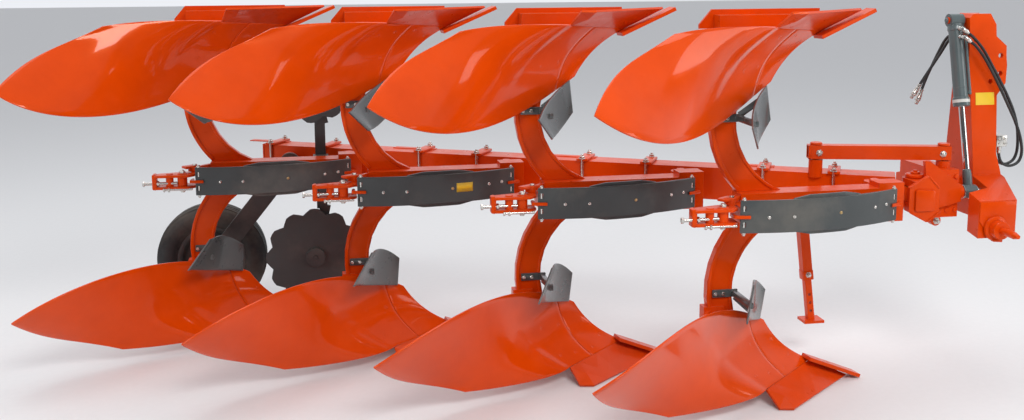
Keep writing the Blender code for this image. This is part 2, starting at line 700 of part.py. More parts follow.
def make_head(parent):
    """Turning head: fork for the beam's nose, block, turning shaft, arm plate and front guard."""
    nose = beam_point(BEAM_NOSE_X)
    inner = LUG_H / 2 + RUN
    parts = []
    for side in (-1, 1):
        lo, hi = sorted((AXIS_Z + side * inner, AXIS_Z + side * (inner + 0.035)))
        parts.append(rod((nose.x, nose.y, lo), (nose.x, nose.y, hi), NOSE_R, 28))
        parts.append(box((nose.x, nose.y - NOSE_R, lo), (HEAD_X[0] + 0.02, nose.y + NOSE_R, hi)))
        parts.append(box((nose.x - 0.06, -0.115, lo), (nose.x + 0.03, nose.y, hi)))
    parts.append(rod((nose.x, nose.y, AXIS_Z - inner - 0.045), (nose.x, nose.y, AXIS_Z + inner + 0.045),
                     PIN_R, 16))
    guard_x, guard_w, guard_h = 0.255, 0.08, 0.115
    outline = [(guard_x - guard_w, AXIS_Z - 0.06), (guard_x - guard_w, AXIS_Z + 0.06),
               (guard_x + 0.02, AXIS_Z + guard_h),
               (guard_x + guard_w, AXIS_Z + 0.05), (guard_x + guard_w, AXIS_Z - 0.07),
               (guard_x + 0.02, AXIS_Z - guard_h)]
    parts.append(plate(outline, -0.135, -0.112))
    block = box((HEAD_X[0], -0.03, AXIS_Z - 0.12), (HEAD_X[1], AXIS_Y + 0.11, AXIS_Z + 0.12))
    parts.append(rod((HEAD_X[1] - 0.01, AXIS_Y, AXIS_Z), (CROSS_X[3] + 0.03, AXIS_Y, AXIS_Z), SHAFT_R, 28))
    eye_y = AXIS_Y - CYL_ARM
    parts.append(rod((ARM_X[0] - 0.01, eye_y, AXIS_Z), (ARM_X[1], eye_y, AXIS_Z), EYE_R + 0.006, 24))
    parts.append(box((ARM_X[0] - 0.01, eye_y, AXIS_Z - 0.04), (ARM_X[1], AXIS_Y, AXIS_Z + 0.04)))
    parts.append(rod((ARM_X[0] - 0.01, AXIS_Y, AXIS_Z), (ARM_X[1], AXIS_Y, AXIS_Z), 0.10, 28))
    gusset = [(0.30, AXIS_Z + 0.17), (0.33, AXIS_Z + 0.17), (0.505, AXIS_Z + 0.04), (0.505, AXIS_Z - 0.04),
              (0.33, AXIS_Z - 0.08)]
    parts.append(plate(gusset, eye_y - 0.05, eye_y - 0.028))
    post = Vector((*LINK_FRONT, 0))
    parts.append(rod(post + Vector((0, 0, AXIS_Z + 0.10)), post + Vector((0, 0, LINK_Z[0] - RUN)), 0.035,
                     20))
    parts.append(rod(post + Vector((0, 0, AXIS_Z + 0.10)), post + Vector((0, 0, LINK_Z[1] + 0.01)), 0.015,
                     16))
    return finish(fuse(block, *parts), "turnover_head", "orange", parent, smooth=True)


def make_link(parent):
    """Width link: a box arm from the head to a post on the beam."""
    rear, front = Vector((*LINK_REAR, 0)), Vector((*LINK_FRONT, 0))
    middle = (LINK_Z[0] + LINK_Z[1]) / 2
    along = (front - rear).normalized()
    up = Vector((0, 0, middle))
    arm = bar(rear - along * 0.03 + up, front + along * 0.03 + up, LINK_W, LINK_Z[1] - LINK_Z[0])
    low, high = Vector((0, 0, LINK_Z[0] - 0.02)), Vector((0, 0, LINK_Z[1] + 0.02))
    bores = [rod(front + low, front + high, 0.015 + PIN_FIT, 16), rod(rear + low, rear + high, 0.022, 16)]
    return finish(cut(arm, *bores), "width_link", "orange", parent)


# Headstock

def make_headstock(parent):
    """Cross member with its lower link pins, the turning shaft's housing and the tower."""
    inner, rear_in, outer, front = CROSS_X
    near, far = AXIS_Y - CROSS_HALF, AXIS_Y + CROSS_HALF
    notch = 0.09
    plan = [(inner, near), (outer, near), (front, AXIS_Y - 0.16), (front, AXIS_Y + 0.16), (outer, far),
            (inner, far),
            (inner, far - notch), (rear_in, far - notch - 0.04), (rear_in, near + notch + 0.04),
            (inner, near + notch)]
    low, shoulder, top = CROSS_Z
    face = [(near, low), (near, shoulder), (AXIS_Y - 0.13, top), (AXIS_Y + 0.13, top), (far, shoulder),
            (far, low),
            (AXIS_Y + 0.12, low + 0.05), (AXIS_Y - 0.12, low + 0.05)]
    cross = combine(plate(plan, 0.6, 1.2, "XY"), [plate(face, 0.4, 0.95, "YZ")], "INTERSECT")
    pins = []
    for side in (-1, 1):
        shoulder_y = AXIS_Y + side * CROSS_HALF
        steps = ((-0.02, 0.06, 0.045, 0.045), (0.05, LINK_PIN_L - 0.03, 0.018, 0.018),
                 (LINK_PIN_L - 0.031, LINK_PIN_L, 0.018, 0.010))
        for start, end, radius, radius_end in steps:
            p, q = ((LINK_PIN_X, shoulder_y + side * reach, LINK_PIN_Z) for reach in (start, end))
            pins.append(rod(p, q, radius, 24, radius_end=radius_end))
    housing = rod((rear_in, AXIS_Y, AXIS_Z), (front + 0.012, AXIS_Y, AXIS_Z), HOUSING_R, 32)
    side_view = [(0.640, 0.90), (0.640, 1.10), (0.625, 1.70), (0.620, TOWER_TOP - 0.02), (0.640, TOWER_TOP),
                 (0.735, TOWER_TOP),
                 (0.770, 1.76), (0.775, 1.70), (0.835, 1.65), (0.840, 1.55), (0.830, 1.46), (0.780, 1.40),
                 (0.772, 1.10),
                 (0.800, 0.99), (0.800, 0.90)]
    foot, crown = TOWER_Y
    end_view = [(AXIS_Y - foot, 0.85), (AXIS_Y + foot, 0.85), (AXIS_Y + foot, 1.02), (AXIS_Y + crown, 1.60),
                (AXIS_Y + crown, 1.9), (AXIS_Y - crown, 1.9), (AXIS_Y - crown, 1.60), (AXIS_Y - foot, 1.02)]
    tower = combine(plate(side_view, -0.1, 0.5), [plate(end_view, 0.5, 0.95, "YZ")], "INTERSECT")
    pin = rod((CYL_X - 0.045, AXIS_Y, CYL_TOP_Z), (0.66, AXIS_Y, CYL_TOP_Z), 0.017, 16)
    hook = rod((HOOK[0], AXIS_Y + crown - 0.01, HOOK[2]), HOOK, HOOK_R, 12)
    solid = fuse(cross, housing, tower, *pins, pin, hook)
    slot = box((0.70, AXIS_Y - crown + 0.02, 1.06), (0.95, AXIS_Y + crown - 0.02, 1.95))
    bore = rod((0.60, AXIS_Y, AXIS_Z), (0.90, AXIS_Y, AXIS_Z), SHAFT_R + PIN_FIT, 28)
    holes = [rod((x, 0, z), (x, 0.5, z), 0.013, 12) for x,
             z in ((0.805, 1.60), (0.800, 1.51), (0.745, 1.47))]
    return finish(cut(solid, slot, bore, *holes), "headstock", "orange", parent, smooth=True)


def cylinder_line():
    """Top eye, rod eye and the direction between them."""
    top = Vector((CYL_X, AXIS_Y, CYL_TOP_Z))
    eye = Vector((CYL_X, AXIS_Y - CYL_ARM, AXIS_Z))
    return top, eye, (eye - top).normalized()


def make_cylinder(swing, stroke):
    """Turnover cylinder: barrel with its eye and side tube, and the rod with its eye."""
    top, eye, down = cylinder_line()
    wide = Vector((BARREL_R, 0, 0))
    barrel = rod(top + down * 0.02, top + down * BARREL_L, BARREL_R, 24)
    ring = rod(top - wide, top + wide, 0.034, 20)
    gland = rod(top + down * (BARREL_L - 0.04), top + down * BARREL_L, BARREL_R + 0.004, 24)
    bore = rod(top - wide * 2, top + wide * 2, 0.017 + PIN_FIT, 16)
    inside = rod(top + down * 0.09, top + down * (BARREL_L + 0.05), ROD_R + PIN_FIT, 20)
    elbows = []
    for knee, route in zip(ELBOWS, (HOSES["cylinder_hose_near"], HOSES["cylinder_hose_far"])):
        knee, end = Vector(knee), Vector(route[0])
        root = top + down * ((top.z - knee.z) / -down.z)
        elbows.append(rod(root, knee - Vector((0, ELBOW_R * 0.6, 0)), ELBOW_R, 16))
        elbows.append(rod(knee - (end - knee) * 0.1, end - (end - knee).normalized() * GAP, ELBOW_R, 16))
    solid = cut(fuse(barrel, ring, gland, *elbows), bore, inside)
    finish(solid, "cylinder_barrel", "cylinder", swing, smooth=True)
    shaft = rod(top + down * (BARREL_L - 0.08), eye, ROD_R, 20)
    head = rod(eye - Vector((0.036, 0, 0)), eye + Vector((0.036, 0, 0)), EYE_R, 24)
    stub = rod(eye - Vector((0.045 - RUN / 5, 0, 0)), eye + Vector((0.050, 0, 0)), 0.018, 16)
    neck = rod(eye - down * 0.08, eye - down * 0.02, 0.022, 20)
    finish(fuse(shaft, head, neck, stub), "cylinder_rod", "steel", stroke, smooth=True)


# Depth wheel and disc coulters

def lathe(profile, centre, axis_y, sides, name):
    """Turn a closed (radius, offset) profile about a line along Y."""
    bm = bmesh.new()
    verts = [bm.verts.new((r, 0, h)) for r, h in profile]
    for a, b in zip(verts, verts[1:] + verts[:1]):
        bm.edges.new((a, b))
    obj = mesh_object(name, bm)
    screw = obj.modifiers.new("turn", "SCREW")
    screw.axis = "Z"
    screw.steps = sides
    screw.render_steps = sides
    screw.use_merge_vertices = True
    screw.merge_threshold = 0.00001
    made = to_mesh(obj)
    made.data.transform(Matrix.Translation((centre[0], axis_y, centre[1])) @ Matrix.Rotation(math.pi / 2, 4,
                                                                                             "X"))
    return made


def make_wheel(arm_axis, spin_axis):
    """Depth wheel: tyre, rim with its hub, and the arm that carries it."""
    x, y = WHEEL_C
    half = WHEEL_W / 2
    tyre = [(RIM_R, half - 0.02), (RIM_R, -half + 0.02), (RIM_R + 0.05, -half), (WHEEL_R - 0.03, -half),
            (WHEEL_R, -half + 0.035), (WHEEL_R, half - 0.035), (WHEEL_R - 0.03, half), (RIM_R + 0.05, half)]
    tyre = lathe(tyre[::-1], (x, WHEEL_R), y, 40, "depth_wheel_tyre")
    finish(tyre, "depth_wheel_tyre", "rubber", spin_axis, smooth=True)
    edge = RIM_R - GAP
    hub_bore = PIN_R + PIN_FIT
    rim = [(hub_bore, 0.075), (hub_bore, -0.075), (0.06, -0.075), (0.06, -0.02), (edge - 0.03, -0.02),
           (edge - 0.015, -half + 0.02),
           (edge, -half + 0.02), (edge, half - 0.02), (edge - 0.015, half - 0.02), (edge - 0.02, -0.005),
           (0.06, 0.0), (0.06, 0.075)]
    rim = lathe(rim[::-1], (x, WHEEL_R), y, 40, "depth_wheel_rim")
    finish(rim, "depth_wheel_rim", "dark", spin_axis, smooth=True)
    arm_y = ARM_PIVOT[1]
    pivot = Vector((ARM_PIVOT[0], arm_y + WHEEL_ARM_T / 2, AXIS_Z))
    hub = Vector((x, arm_y + WHEEL_ARM_T / 2, WHEEL_R))
    arm = bar(pivot, hub, WHEEL_ARM_T, WHEEL_ARM_W, up=(1, 0, 1))
    ends = [rod(p - Vector((0, WHEEL_ARM_T / 2, 0)), p + Vector((0, WHEEL_ARM_T / 2, 0)),
                WHEEL_ARM_W / 2 + 0.004, 20)
            for p in (pivot, hub)]
    axle = rod(hub, Vector((x, y + 0.09, WHEEL_R)), PIN_R, 16)
    collar = rod(hub, Vector((x, y - 0.075 - RUN, WHEEL_R)), 0.035, 20)
    bore = rod(pivot - Vector((0, 0.05, 0)), pivot + Vector((0, 0.05, 0)), PIN_R + PIN_FIT, 16)
    finish(cut(fuse(arm, *ends, collar, axle), bore), "wheel_arm", "dark", arm_axis, smooth=True)


def disc_profile():
    """Outline of a notched disc about its own centre."""
    points = []
    steps = 6
    for k in range(DISC_NOTCHES * steps):
        a = 2 * math.pi * k / (DISC_NOTCHES * steps)
        wave = 0.5 - 0.5 * math.cos(2 * math.pi * (k % steps) / steps)
        points.append((a, DISC_R - 0.03 * wave ** 2))
    return points


def make_discs(side, parent, spin):
    """A notched disc coulter with its hub."""
    name = "lower" if side < 0 else "upper"
    centre = Vector((DISC_C[0], DISC_C[1], AXIS_Z + side * (AXIS_Z - DISC_H)))
    outline = [(centre.x + r * math.cos(a), centre.z + r * math.sin(a)) for a, r in disc_profile()]
    blade = plate(outline, centre.y - DISC_T / 2, centre.y + DISC_T / 2)
    boss = rod(centre - Vector((0, 0.03, 0)), centre + Vector((0, 0.035, 0)), 0.055, 24)
    bore = rod(centre - Vector((0, 0.1, 0)), centre + Vector((0, 0.1, 0)), 0.012 + PIN_FIT, 16)
    finish(cut(fuse(blade, boss), bore), f"disc_coulter_{name}", "dark", spin, smooth=True)


def make_disc_bracket(parent):
    """Bracket on the rear carrier with an arm to each disc."""
    origin = body_origin(BODIES - 1)
    back = origin.y + CARRIER_Y[1] + GAP
    x = origin.x + 0.0
    arm_y = DISC_C[1] + 0.035 + RUN + 0.012
    parts = []
    for side in (-1, 1):
        centre = Vector((DISC_C[0], DISC_C[1], AXIS_Z + side * (AXIS_Z - DISC_H)))
        knee = Vector((x - 0.10, arm_y, AXIS_Z + side * 0.26))
        parts.append(bar((knee.x, arm_y, AXIS_Z + side * 0.03), knee, 0.06, 0.022, up=(0, 1, 0)))
        parts.append(bar(knee + Vector((0.02, 0, -side * 0.02)), (centre.x, arm_y, centre.z), 0.06, 0.024,
                         up=(0, 1, 0)))
        parts.append(rod((centre.x, arm_y - 0.010, centre.z), (centre.x, arm_y + 0.016, centre.z), 0.038,
                         20))
        parts.append(rod((centre.x, arm_y, centre.z), (centre.x, centre.y - 0.035, centre.z), 0.012, 16))
    seat = box((x - 0.143, back, AXIS_Z - 0.06), (x - 0.057, arm_y + 0.008, AXIS_Z + 0.06))
    return finish(fuse(seat, *parts), "disc_bracket", "dark", parent, smooth=True)


# Hoses

def smooth_route(points, spacing=0.034):
    """Points read at an even spacing from a smooth curve through a route."""
    route = [Vector(p) for p in points]
    ends = [route[0] * 2 - route[1]] + route + [route[-1] * 2 - route[-2]]
    fine = []
    for a, b, c, d in zip(ends, ends[1:], ends[2:], ends[3:]):
        for k in range(20):
            t = k / 20
            fine.append(0.5 * ((2 * b) + (c - a) * t + (2 * a - 5 * b + 4 * c - d) * t ** 2
                               + (3 * b - a - 3 * c + d) * t ** 3))
    fine.append(route[-1])
    lengths = [0.0]
    for a, b in zip(fine, fine[1:]):
        lengths.append(lengths[-1] + (b - a).length)
    count = round(lengths[-1] / spacing)
    out, k = [], 0
    for step in range(count + 1):
        target = lengths[-1] * step / count
        while k < len(fine) - 2 and lengths[k + 1] < target:
            k += 1
        share = (target - lengths[k]) / (lengths[k + 1] - lengths[k])
        out.append(fine[k].lerp(fine[k + 1], share))
    return out


def make_hose(name, parent):
    """A hydraulic hose along its route."""
    curve = bpy.data.curves.new(name, "CURVE")
    curve.dimensions = "3D"
    curve.bevel_depth = HOSE_R
    curve.bevel_resolution = 2
    curve.use_fill_caps = True
    route = smooth_route(HOSES[name])
    spline = curve.splines.new("POLY")
    spline.points.add(len(route) - 1)
    for point, place in zip(spline.points, route):
        point.co = (*place, 1)
    obj = bpy.data.objects.new(name, curve)
    collection.objects.link(obj)
    return finish(obj, name, "rubber", parent)


def make_coupler(hose, name, parent):
    """Quick coupler on the free end of a supply hose."""
    before, end = (Vector(p) for p in HOSES[hose][-2:])
    along = (end - before).normalized()
    start = end + along * GAP
    shank = rod(start, start + along * COUPLER_L * 0.4, COUPLER_R * 0.75, 20)
    sleeve = rod(start + along * COUPLER_L * 0.3, start + along * COUPLER_L * 0.8, COUPLER_R, 24)
    nose = rod(start + along * COUPLER_L * 0.75, start + along * COUPLER_L, COUPLER_R * 0.7, 20)
    return finish(fuse(shank, sleeve, nose), name, "steel", parent, smooth=True)


def make_valve_block(parent):
    """Valve block on the front edge of the tower, with a port for each hose."""
    (x_low, z_low), (x_high, z_high) = TOWER_FRONT
    slope = (x_high - x_low) / (z_high - z_low)
    back = [(x_low + slope * (z - z_low) + GAP, z) for z in VALVE_Z]
    block = plate([(VALVE_FRONT, VALVE_Z[0]), (VALVE_FRONT, VALVE_Z[1]), back[1], back[0]], *VALVE_Y)
    return finish(block, "valve_block", "steel", parent)


def build():
    """Build the whole plough."""
    clear_scene()
    root = empty("plough", (0, 0, 0))
    turnover = empty("turnover_axis", (HEAD_X[1], AXIS_Y, AXIS_Z), root)
    width = empty("furrow_width_axis", beam_point(BEAM_NOSE_X), turnover)
    link = empty("width_link_axis", (*LINK_FRONT, LINK_Z[0]), turnover)
    make_headstock(root)
    make_head(turnover)
    make_link(link)
    make_beam(width)
    stand = empty("stand_axis", (STAND_X, STAND_Y, AXIS_Z - BEAM_H / 2), width)
    make_stand(stand)
    wheel_arm = empty("wheel_arm_axis", (*ARM_PIVOT, AXIS_Z), width)
    wheel = empty("wheel_axis", (*WHEEL_C, WHEEL_R), wheel_arm)
    make_wheel(wheel_arm, wheel)
    for index in range(BODIES):
        origin = body_origin(index)
        number = index + 1
        axis = empty(f"carrier_axis_{number}", (origin.x + CARRIER_PIVOT[0], origin.y + CARRIER_PIVOT[1],
                                                AXIS_Z), width)
        make_carrier(index, f"leg_carrier_{number}", axis)
        make_spring(index, f"leaf_spring_{number}", axis)
        for side, word in ((-1, "lower"), (1, "upper")):
            make_leg(index, side, f"leg_{word}_{number}", axis)
            make_moldboard(index, side, f"moldboard_{word}_{number}", axis)
            make_share(index, side, f"share_{word}_{number}", axis)
            make_trash_board(index, side, f"trash_board_{word}_{number}", axis)
        if index == BODIES - 1:
            make_disc_bracket(axis)
            for side, word in ((-1, "lower"), (1, "upper")):
                spin = empty(f"disc_axis_{word}", (DISC_C[0], DISC_C[1], AXIS_Z + side * (AXIS_Z - DISC_H)),
                             axis)
                make_discs(side, axis, spin)
    swing = empty("cylinder_swing_axis", (CYL_X, AXIS_Y, CYL_TOP_Z), root)
    stroke = empty("cylinder_stroke_axis", (CYL_X, AXIS_Y - CYL_ARM, AXIS_Z), swing)
    make_cylinder(swing, stroke)
    make_valve_block(root)
    for name in HOSES:
        make_hose(name, root)
    make_coupler("supply_hose_near", "supply_coupler_near", root)
    make_coupler("supply_hose_far", "supply_coupler_far", root)
    centre_over_origin(root)


def centre_over_origin(root):
    """Move the plough so that its box stands centred on the origin."""
    bpy.context.view_layer.update()
    low, high = Vector((1e9,) * 3), Vector((-1e9,) * 3)
    for obj in collection.objects:
        if obj.type == "MESH":
            for corner in obj.bound_box:
                point = obj.matrix_world @ Vector(corner)
                low = Vector(map(min, low, point))
                high = Vector(map(max, high, point))
    root.location = Vector((-(low.x + high.x) / 2, -(low.y + high.y) / 2, -low.z))
    bpy.context.view_layer.update()


build()
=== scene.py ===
import math

import bmesh
import bpy
from mathutils import Matrix, Vector


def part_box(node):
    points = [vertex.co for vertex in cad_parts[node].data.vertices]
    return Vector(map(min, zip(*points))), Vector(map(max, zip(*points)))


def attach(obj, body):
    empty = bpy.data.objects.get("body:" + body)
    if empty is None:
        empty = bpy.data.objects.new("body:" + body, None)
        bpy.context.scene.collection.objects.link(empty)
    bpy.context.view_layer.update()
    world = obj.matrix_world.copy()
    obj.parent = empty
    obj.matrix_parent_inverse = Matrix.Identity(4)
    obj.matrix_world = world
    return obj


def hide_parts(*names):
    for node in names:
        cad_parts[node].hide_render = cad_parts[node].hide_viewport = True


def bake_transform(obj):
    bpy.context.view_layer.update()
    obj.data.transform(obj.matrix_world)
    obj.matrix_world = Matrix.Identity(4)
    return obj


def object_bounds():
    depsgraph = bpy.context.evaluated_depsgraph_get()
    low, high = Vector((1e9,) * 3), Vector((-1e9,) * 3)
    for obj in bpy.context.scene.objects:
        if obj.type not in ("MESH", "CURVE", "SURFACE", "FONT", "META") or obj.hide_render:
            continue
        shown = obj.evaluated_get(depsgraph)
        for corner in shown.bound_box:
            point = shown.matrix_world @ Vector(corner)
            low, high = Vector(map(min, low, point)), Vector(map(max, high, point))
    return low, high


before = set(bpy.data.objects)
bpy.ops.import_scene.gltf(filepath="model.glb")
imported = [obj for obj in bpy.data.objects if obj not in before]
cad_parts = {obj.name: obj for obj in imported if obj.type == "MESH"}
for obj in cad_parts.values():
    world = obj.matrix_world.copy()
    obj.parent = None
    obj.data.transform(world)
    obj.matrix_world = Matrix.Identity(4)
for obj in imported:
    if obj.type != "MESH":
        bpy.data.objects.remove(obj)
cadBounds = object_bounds()
# the part's own origin is its front share point; the wheel's place gives where that is in the frame
wheelLow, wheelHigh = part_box("depth_wheel_tyre")
shift = Vector(((wheelLow[0] + wheelHigh[0]) / 2 + 3.32, (wheelLow[1] + wheelHigh[1]) / 2 - 1.755, 0))
axisZ = (cadBounds[0][2] + cadBounds[1][2]) / 2
pitch, furrow = 0.85, 0.45      # one body to the next, along the plough and across it


def at(x, y, z):
    return Vector((x, y, z)) + shift


def bodyPoint(index, side, p):
    # p is (x, y, height above the sole) from the share point of a body
    return at(p[0] - pitch * index, p[1] + furrow * index, axisZ + side * (axisZ - p[2]))


def sidePoint(index, side, x, y, z):
    # z is the height from the beam's middle, mirrored for the upper bodies
    return at(x - pitch * index, y + furrow * index, axisZ + side * z)


def nameOf(index, side):
    # what a piece of one body is called, and the carrier that it rides on
    return f"{'lower' if side < 0 else 'upper'}_{index + 1}", f"carrier_{index + 1}"


everyBody = [(index, side) for index in range(4) for side in (-1, 1)]


view = {"place": (-2.59, -4.807, 2.051), "yaw": 9.78, "pitch": 8.58, "roll": 0.31, "lens": 37.47,
        "shift": -80 / 1024}
cameraData = bpy.data.cameras.new("camera")
cameraData.lens = view["lens"]
cameraData.sensor_width = 36
cameraData.shift_y = view["shift"]
cameraData.clip_end = 200
camera = bpy.data.objects.new("camera", cameraData)
bpy.context.scene.collection.objects.link(camera)
camera.location = at(*view["place"])
yaw, dip = math.radians(view["yaw"]), math.radians(view["pitch"])
forward = Vector((math.sin(yaw) * math.cos(dip), math.cos(yaw) * math.cos(dip), -math.sin(dip)))
right = Vector((math.cos(yaw), -math.sin(yaw), 0))
turn = Matrix((right, right.cross(forward), -forward)).transposed()
camera.rotation_euler = (turn @ Matrix.Rotation(math.radians(-view["roll"]), 3, "Z")).to_euler()
bpy.context.scene.camera = camera
bpy.context.scene.view_settings.view_transform = "Standard"


def newGroup(name, inputs, outputs):
    group = bpy.data.node_groups.new(name, "ShaderNodeTree")
    for label, kind, value in inputs:
        socket = group.interface.new_socket(label, in_out="INPUT", socket_type=kind)
        if value is not None:
            socket.default_value = value
    for label, kind in outputs:
        group.interface.new_socket(label, in_out="OUTPUT", socket_type=kind)
    return group, group.nodes.new("NodeGroupInput"), group.nodes.new("NodeGroupOutput")


def node(tree, kind, links=None, **settings):
    made = tree.nodes.new(kind)
    for key, value in settings.items():
        setattr(made, key, value)
    for key, value in (links or {}).items():
        if isinstance(value, bpy.types.NodeSocket):
            tree.links.new(value, made.inputs[key])
        else:
            made.inputs[key].default_value = value
    return made


def grimeGroup():
    # dust that settles on faces that look up, and in broad patches
    group, given, out = newGroup("grime", [("Coordinates", "NodeSocketVector", None),
                                           ("Scale", "NodeSocketFloat", 3.0),
                                           ("Amount", "NodeSocketFloat", 0.3),
                                           ("Upward", "NodeSocketFloat", 0.4)],
                                 [("Mask", "NodeSocketFloat")])
    noise = node(group, "ShaderNodeTexNoise", {"Vector": given.outputs["Coordinates"],
                                               "Scale": given.outputs["Scale"],
                                               "Detail": 7.0, "Roughness": 0.62})
    patch = node(group, "ShaderNodeMapRange", {"Value": noise.outputs["Fac"], "From Min": 0.48,
                                               "From Max": 0.75})
    geometry = node(group, "ShaderNodeNewGeometry")
    split = node(group, "ShaderNodeSeparateXYZ", {"Vector": geometry.outputs["Normal"]})
    up = node(group, "ShaderNodeMapRange", {"Value": split.outputs["Z"], "From Min": 0.35, "From Max": 1.0})
    lift = node(group, "ShaderNodeMath", {0: up.outputs["Result"], 1: given.outputs["Upward"]},
                operation="MULTIPLY")
    spread = node(group, "ShaderNodeMath", {0: patch.outputs["Result"], 1: lift.outputs[0]}, operation="ADD")
    mask = node(group, "ShaderNodeMath", {0: spread.outputs[0], 1: given.outputs["Amount"]},
                operation="MULTIPLY",
                use_clamp=True)
    group.links.new(mask.outputs[0], out.inputs["Mask"])
    return group


def edgeWearAndHighlightGroup():
    # outer edges, partly real wear and partly a painted edge highlight: where the rounded normal leaves the
    # true one, broken up by noise
    group, given, out = newGroup("edge wear", [("Coordinates", "NodeSocketVector", None),
                                               ("Radius", "NodeSocketFloat", 0.003),
                                               ("Scale", "NodeSocketFloat", 60.0),
                                               ("Amount", "NodeSocketFloat", 0.5)],
                                 [("Mask", "NodeSocketFloat"), ("Normal", "NodeSocketVector")])
    bevel = node(group, "ShaderNodeBevel", {"Radius": given.outputs["Radius"]}, samples=4)
    geometry = node(group, "ShaderNodeNewGeometry")
    dot = node(group, "ShaderNodeVectorMath", {0: bevel.outputs["Normal"], 1: geometry.outputs["Normal"]},
               operation="DOT_PRODUCT")
    # edge mask: real wear together with a painted highlight along the edges
    edge = node(group, "ShaderNodeMapRange", {"Value": dot.outputs["Value"], "From Min": 0.98,
                                              "From Max": 0.80})
    noise = node(group, "ShaderNodeTexNoise", {"Vector": given.outputs["Coordinates"],
                                               "Scale": given.outputs["Scale"],
                                               "Detail": 4.0})
    broken = node(group, "ShaderNodeMapRange", {"Value": noise.outputs["Fac"], "From Min": 0.45,
                                                "From Max": 0.62})
    both = node(group, "ShaderNodeMath", {0: edge.outputs["Result"], 1: broken.outputs["Result"]},
                operation="MULTIPLY")
    mask = node(group, "ShaderNodeMath", {0: both.outputs[0], 1: given.outputs["Amount"]}, operation="MULTIPLY",
                use_clamp=True)
    group.links.new(mask.outputs[0], out.inputs["Mask"])
    group.links.new(bevel.outputs["Normal"], out.inputs["Normal"])
    return group


# the edge group paints edges with real wear and with a painted highlight
grime, edges = grimeGroup(), edgeWearAndHighlightGroup()
# each look's edge amount and edge colour stand for real edge wear and for a painted edge highlight, mostly
# paler than the paint
looks = {
    "board": {"colour": (0.74, 0.064, 0.001), "shade": (0.50, 0.036, 0.001), "rough": 0.17, "coat": 0.45,
              "dust": 0.03,
              "specular": 0.35, "tint": (1.0, 0.35, 0.12), "upward": 0.10, "wearAndHighlight": 0.15, "peel": 0.012,
              "grain": 260.0, "wornAndHighlitEdge": (0.55, 0.20, 0.08)},
    "orange": {"colour": (0.72, 0.058, 0.001), "shade": (0.42, 0.028, 0.001), "rough": 0.32, "coat": 0.12,
               "dust": 0.05,
               "specular": 0.35, "tint": (1.0, 0.35, 0.12), "upward": 0.25, "wearAndHighlight": 0.35, "peel": 0.03,
               "grain": 180.0, "wornAndHighlitEdge": (0.62, 0.24, 0.10)},
    "dark": {"colour": (0.048, 0.056, 0.057), "shade": (0.026, 0.030, 0.031), "rough": 0.42, "coat": 0.15,
             "dust": 0.22,
             "upward": 0.4, "wearAndHighlight": 0.7, "peel": 0.05, "grain": 220.0, "wornAndHighlitEdge": (0.20, 0.23, 0.23)},
    "trash": {"colour": (0.060, 0.070, 0.070), "shade": (0.030, 0.036, 0.036), "rough": 0.30, "coat": 0.5,
              "dust": 0.10,
              "upward": 0.3, "wearAndHighlight": 0.8, "peel": 0.03, "grain": 220.0, "wornAndHighlitEdge": (0.30, 0.34, 0.33)},
    "barrel": {"colour": (0.085, 0.115, 0.118), "shade": (0.05, 0.065, 0.068), "rough": 0.33, "coat": 0.4,
               "dust": 0.12,
               "upward": 0.3, "wearAndHighlight": 0.5, "peel": 0.03, "grain": 200.0, "wornAndHighlitEdge": (0.30, 0.33, 0.33)},
    "steel": {"colour": (0.66, 0.64, 0.60), "shade": (0.42, 0.40, 0.37), "rough": 0.24, "metal": 1.0,
              "dust": 0.12,
              "upward": 0.2, "wearAndHighlight": 0.1, "peel": 0.05, "grain": 400.0, "wornAndHighlitEdge": (0.75, 0.74, 0.72)},
    "brass": {"colour": (0.60, 0.42, 0.20), "shade": (0.30, 0.20, 0.09), "rough": 0.32, "metal": 1.0,
              "dust": 0.2,
              "upward": 0.2, "wearAndHighlight": 0.1, "peel": 0.05, "grain": 400.0, "wornAndHighlitEdge": (0.7, 0.55, 0.3)},
    "chrome": {"colour": (0.80, 0.80, 0.80), "shade": (0.62, 0.62, 0.62), "rough": 0.07, "metal": 1.0,
               "dust": 0.03,
               "upward": 0.1, "wearAndHighlight": 0.0, "peel": 0.01, "grain": 500.0, "wornAndHighlitEdge": (0.8, 0.8, 0.8)},
    "tyre": {"colour": (0.020, 0.021, 0.022), "shade": (0.012, 0.012, 0.013), "rough": 0.62, "dust": 0.30,
             "upward": 0.3,
             "wearAndHighlight": 0.3, "peel": 0.10, "grain": 300.0, "wornAndHighlitEdge": (0.06, 0.06, 0.06)},
    "hose": {"colour": (0.016, 0.017, 0.018), "shade": (0.009, 0.009, 0.010), "rough": 0.45, "dust": 0.10,
             "upward": 0.2,
             "wearAndHighlight": 0.0, "peel": 0.20, "grain": 700.0, "wornAndHighlitEdge": (0.05, 0.05, 0.05)},
    "label": {"colour": (0.86, 0.55, 0.02), "shade": (0.70, 0.42, 0.01), "rough": 0.35, "dust": 0.10,
              "upward": 0.1,
              "wearAndHighlight": 0.3, "peel": 0.02, "grain": 100.0, "wornAndHighlitEdge": (0.5, 0.35, 0.1)},
    "paleLabel": {"colour": (0.62, 0.62, 0.58), "shade": (0.42, 0.42, 0.40), "rough": 0.40, "dust": 0.15,
                  "upward": 0.1,
                  "wearAndHighlight": 0.3, "peel": 0.02, "grain": 100.0, "wornAndHighlitEdge": (0.3, 0.3, 0.3)},
}


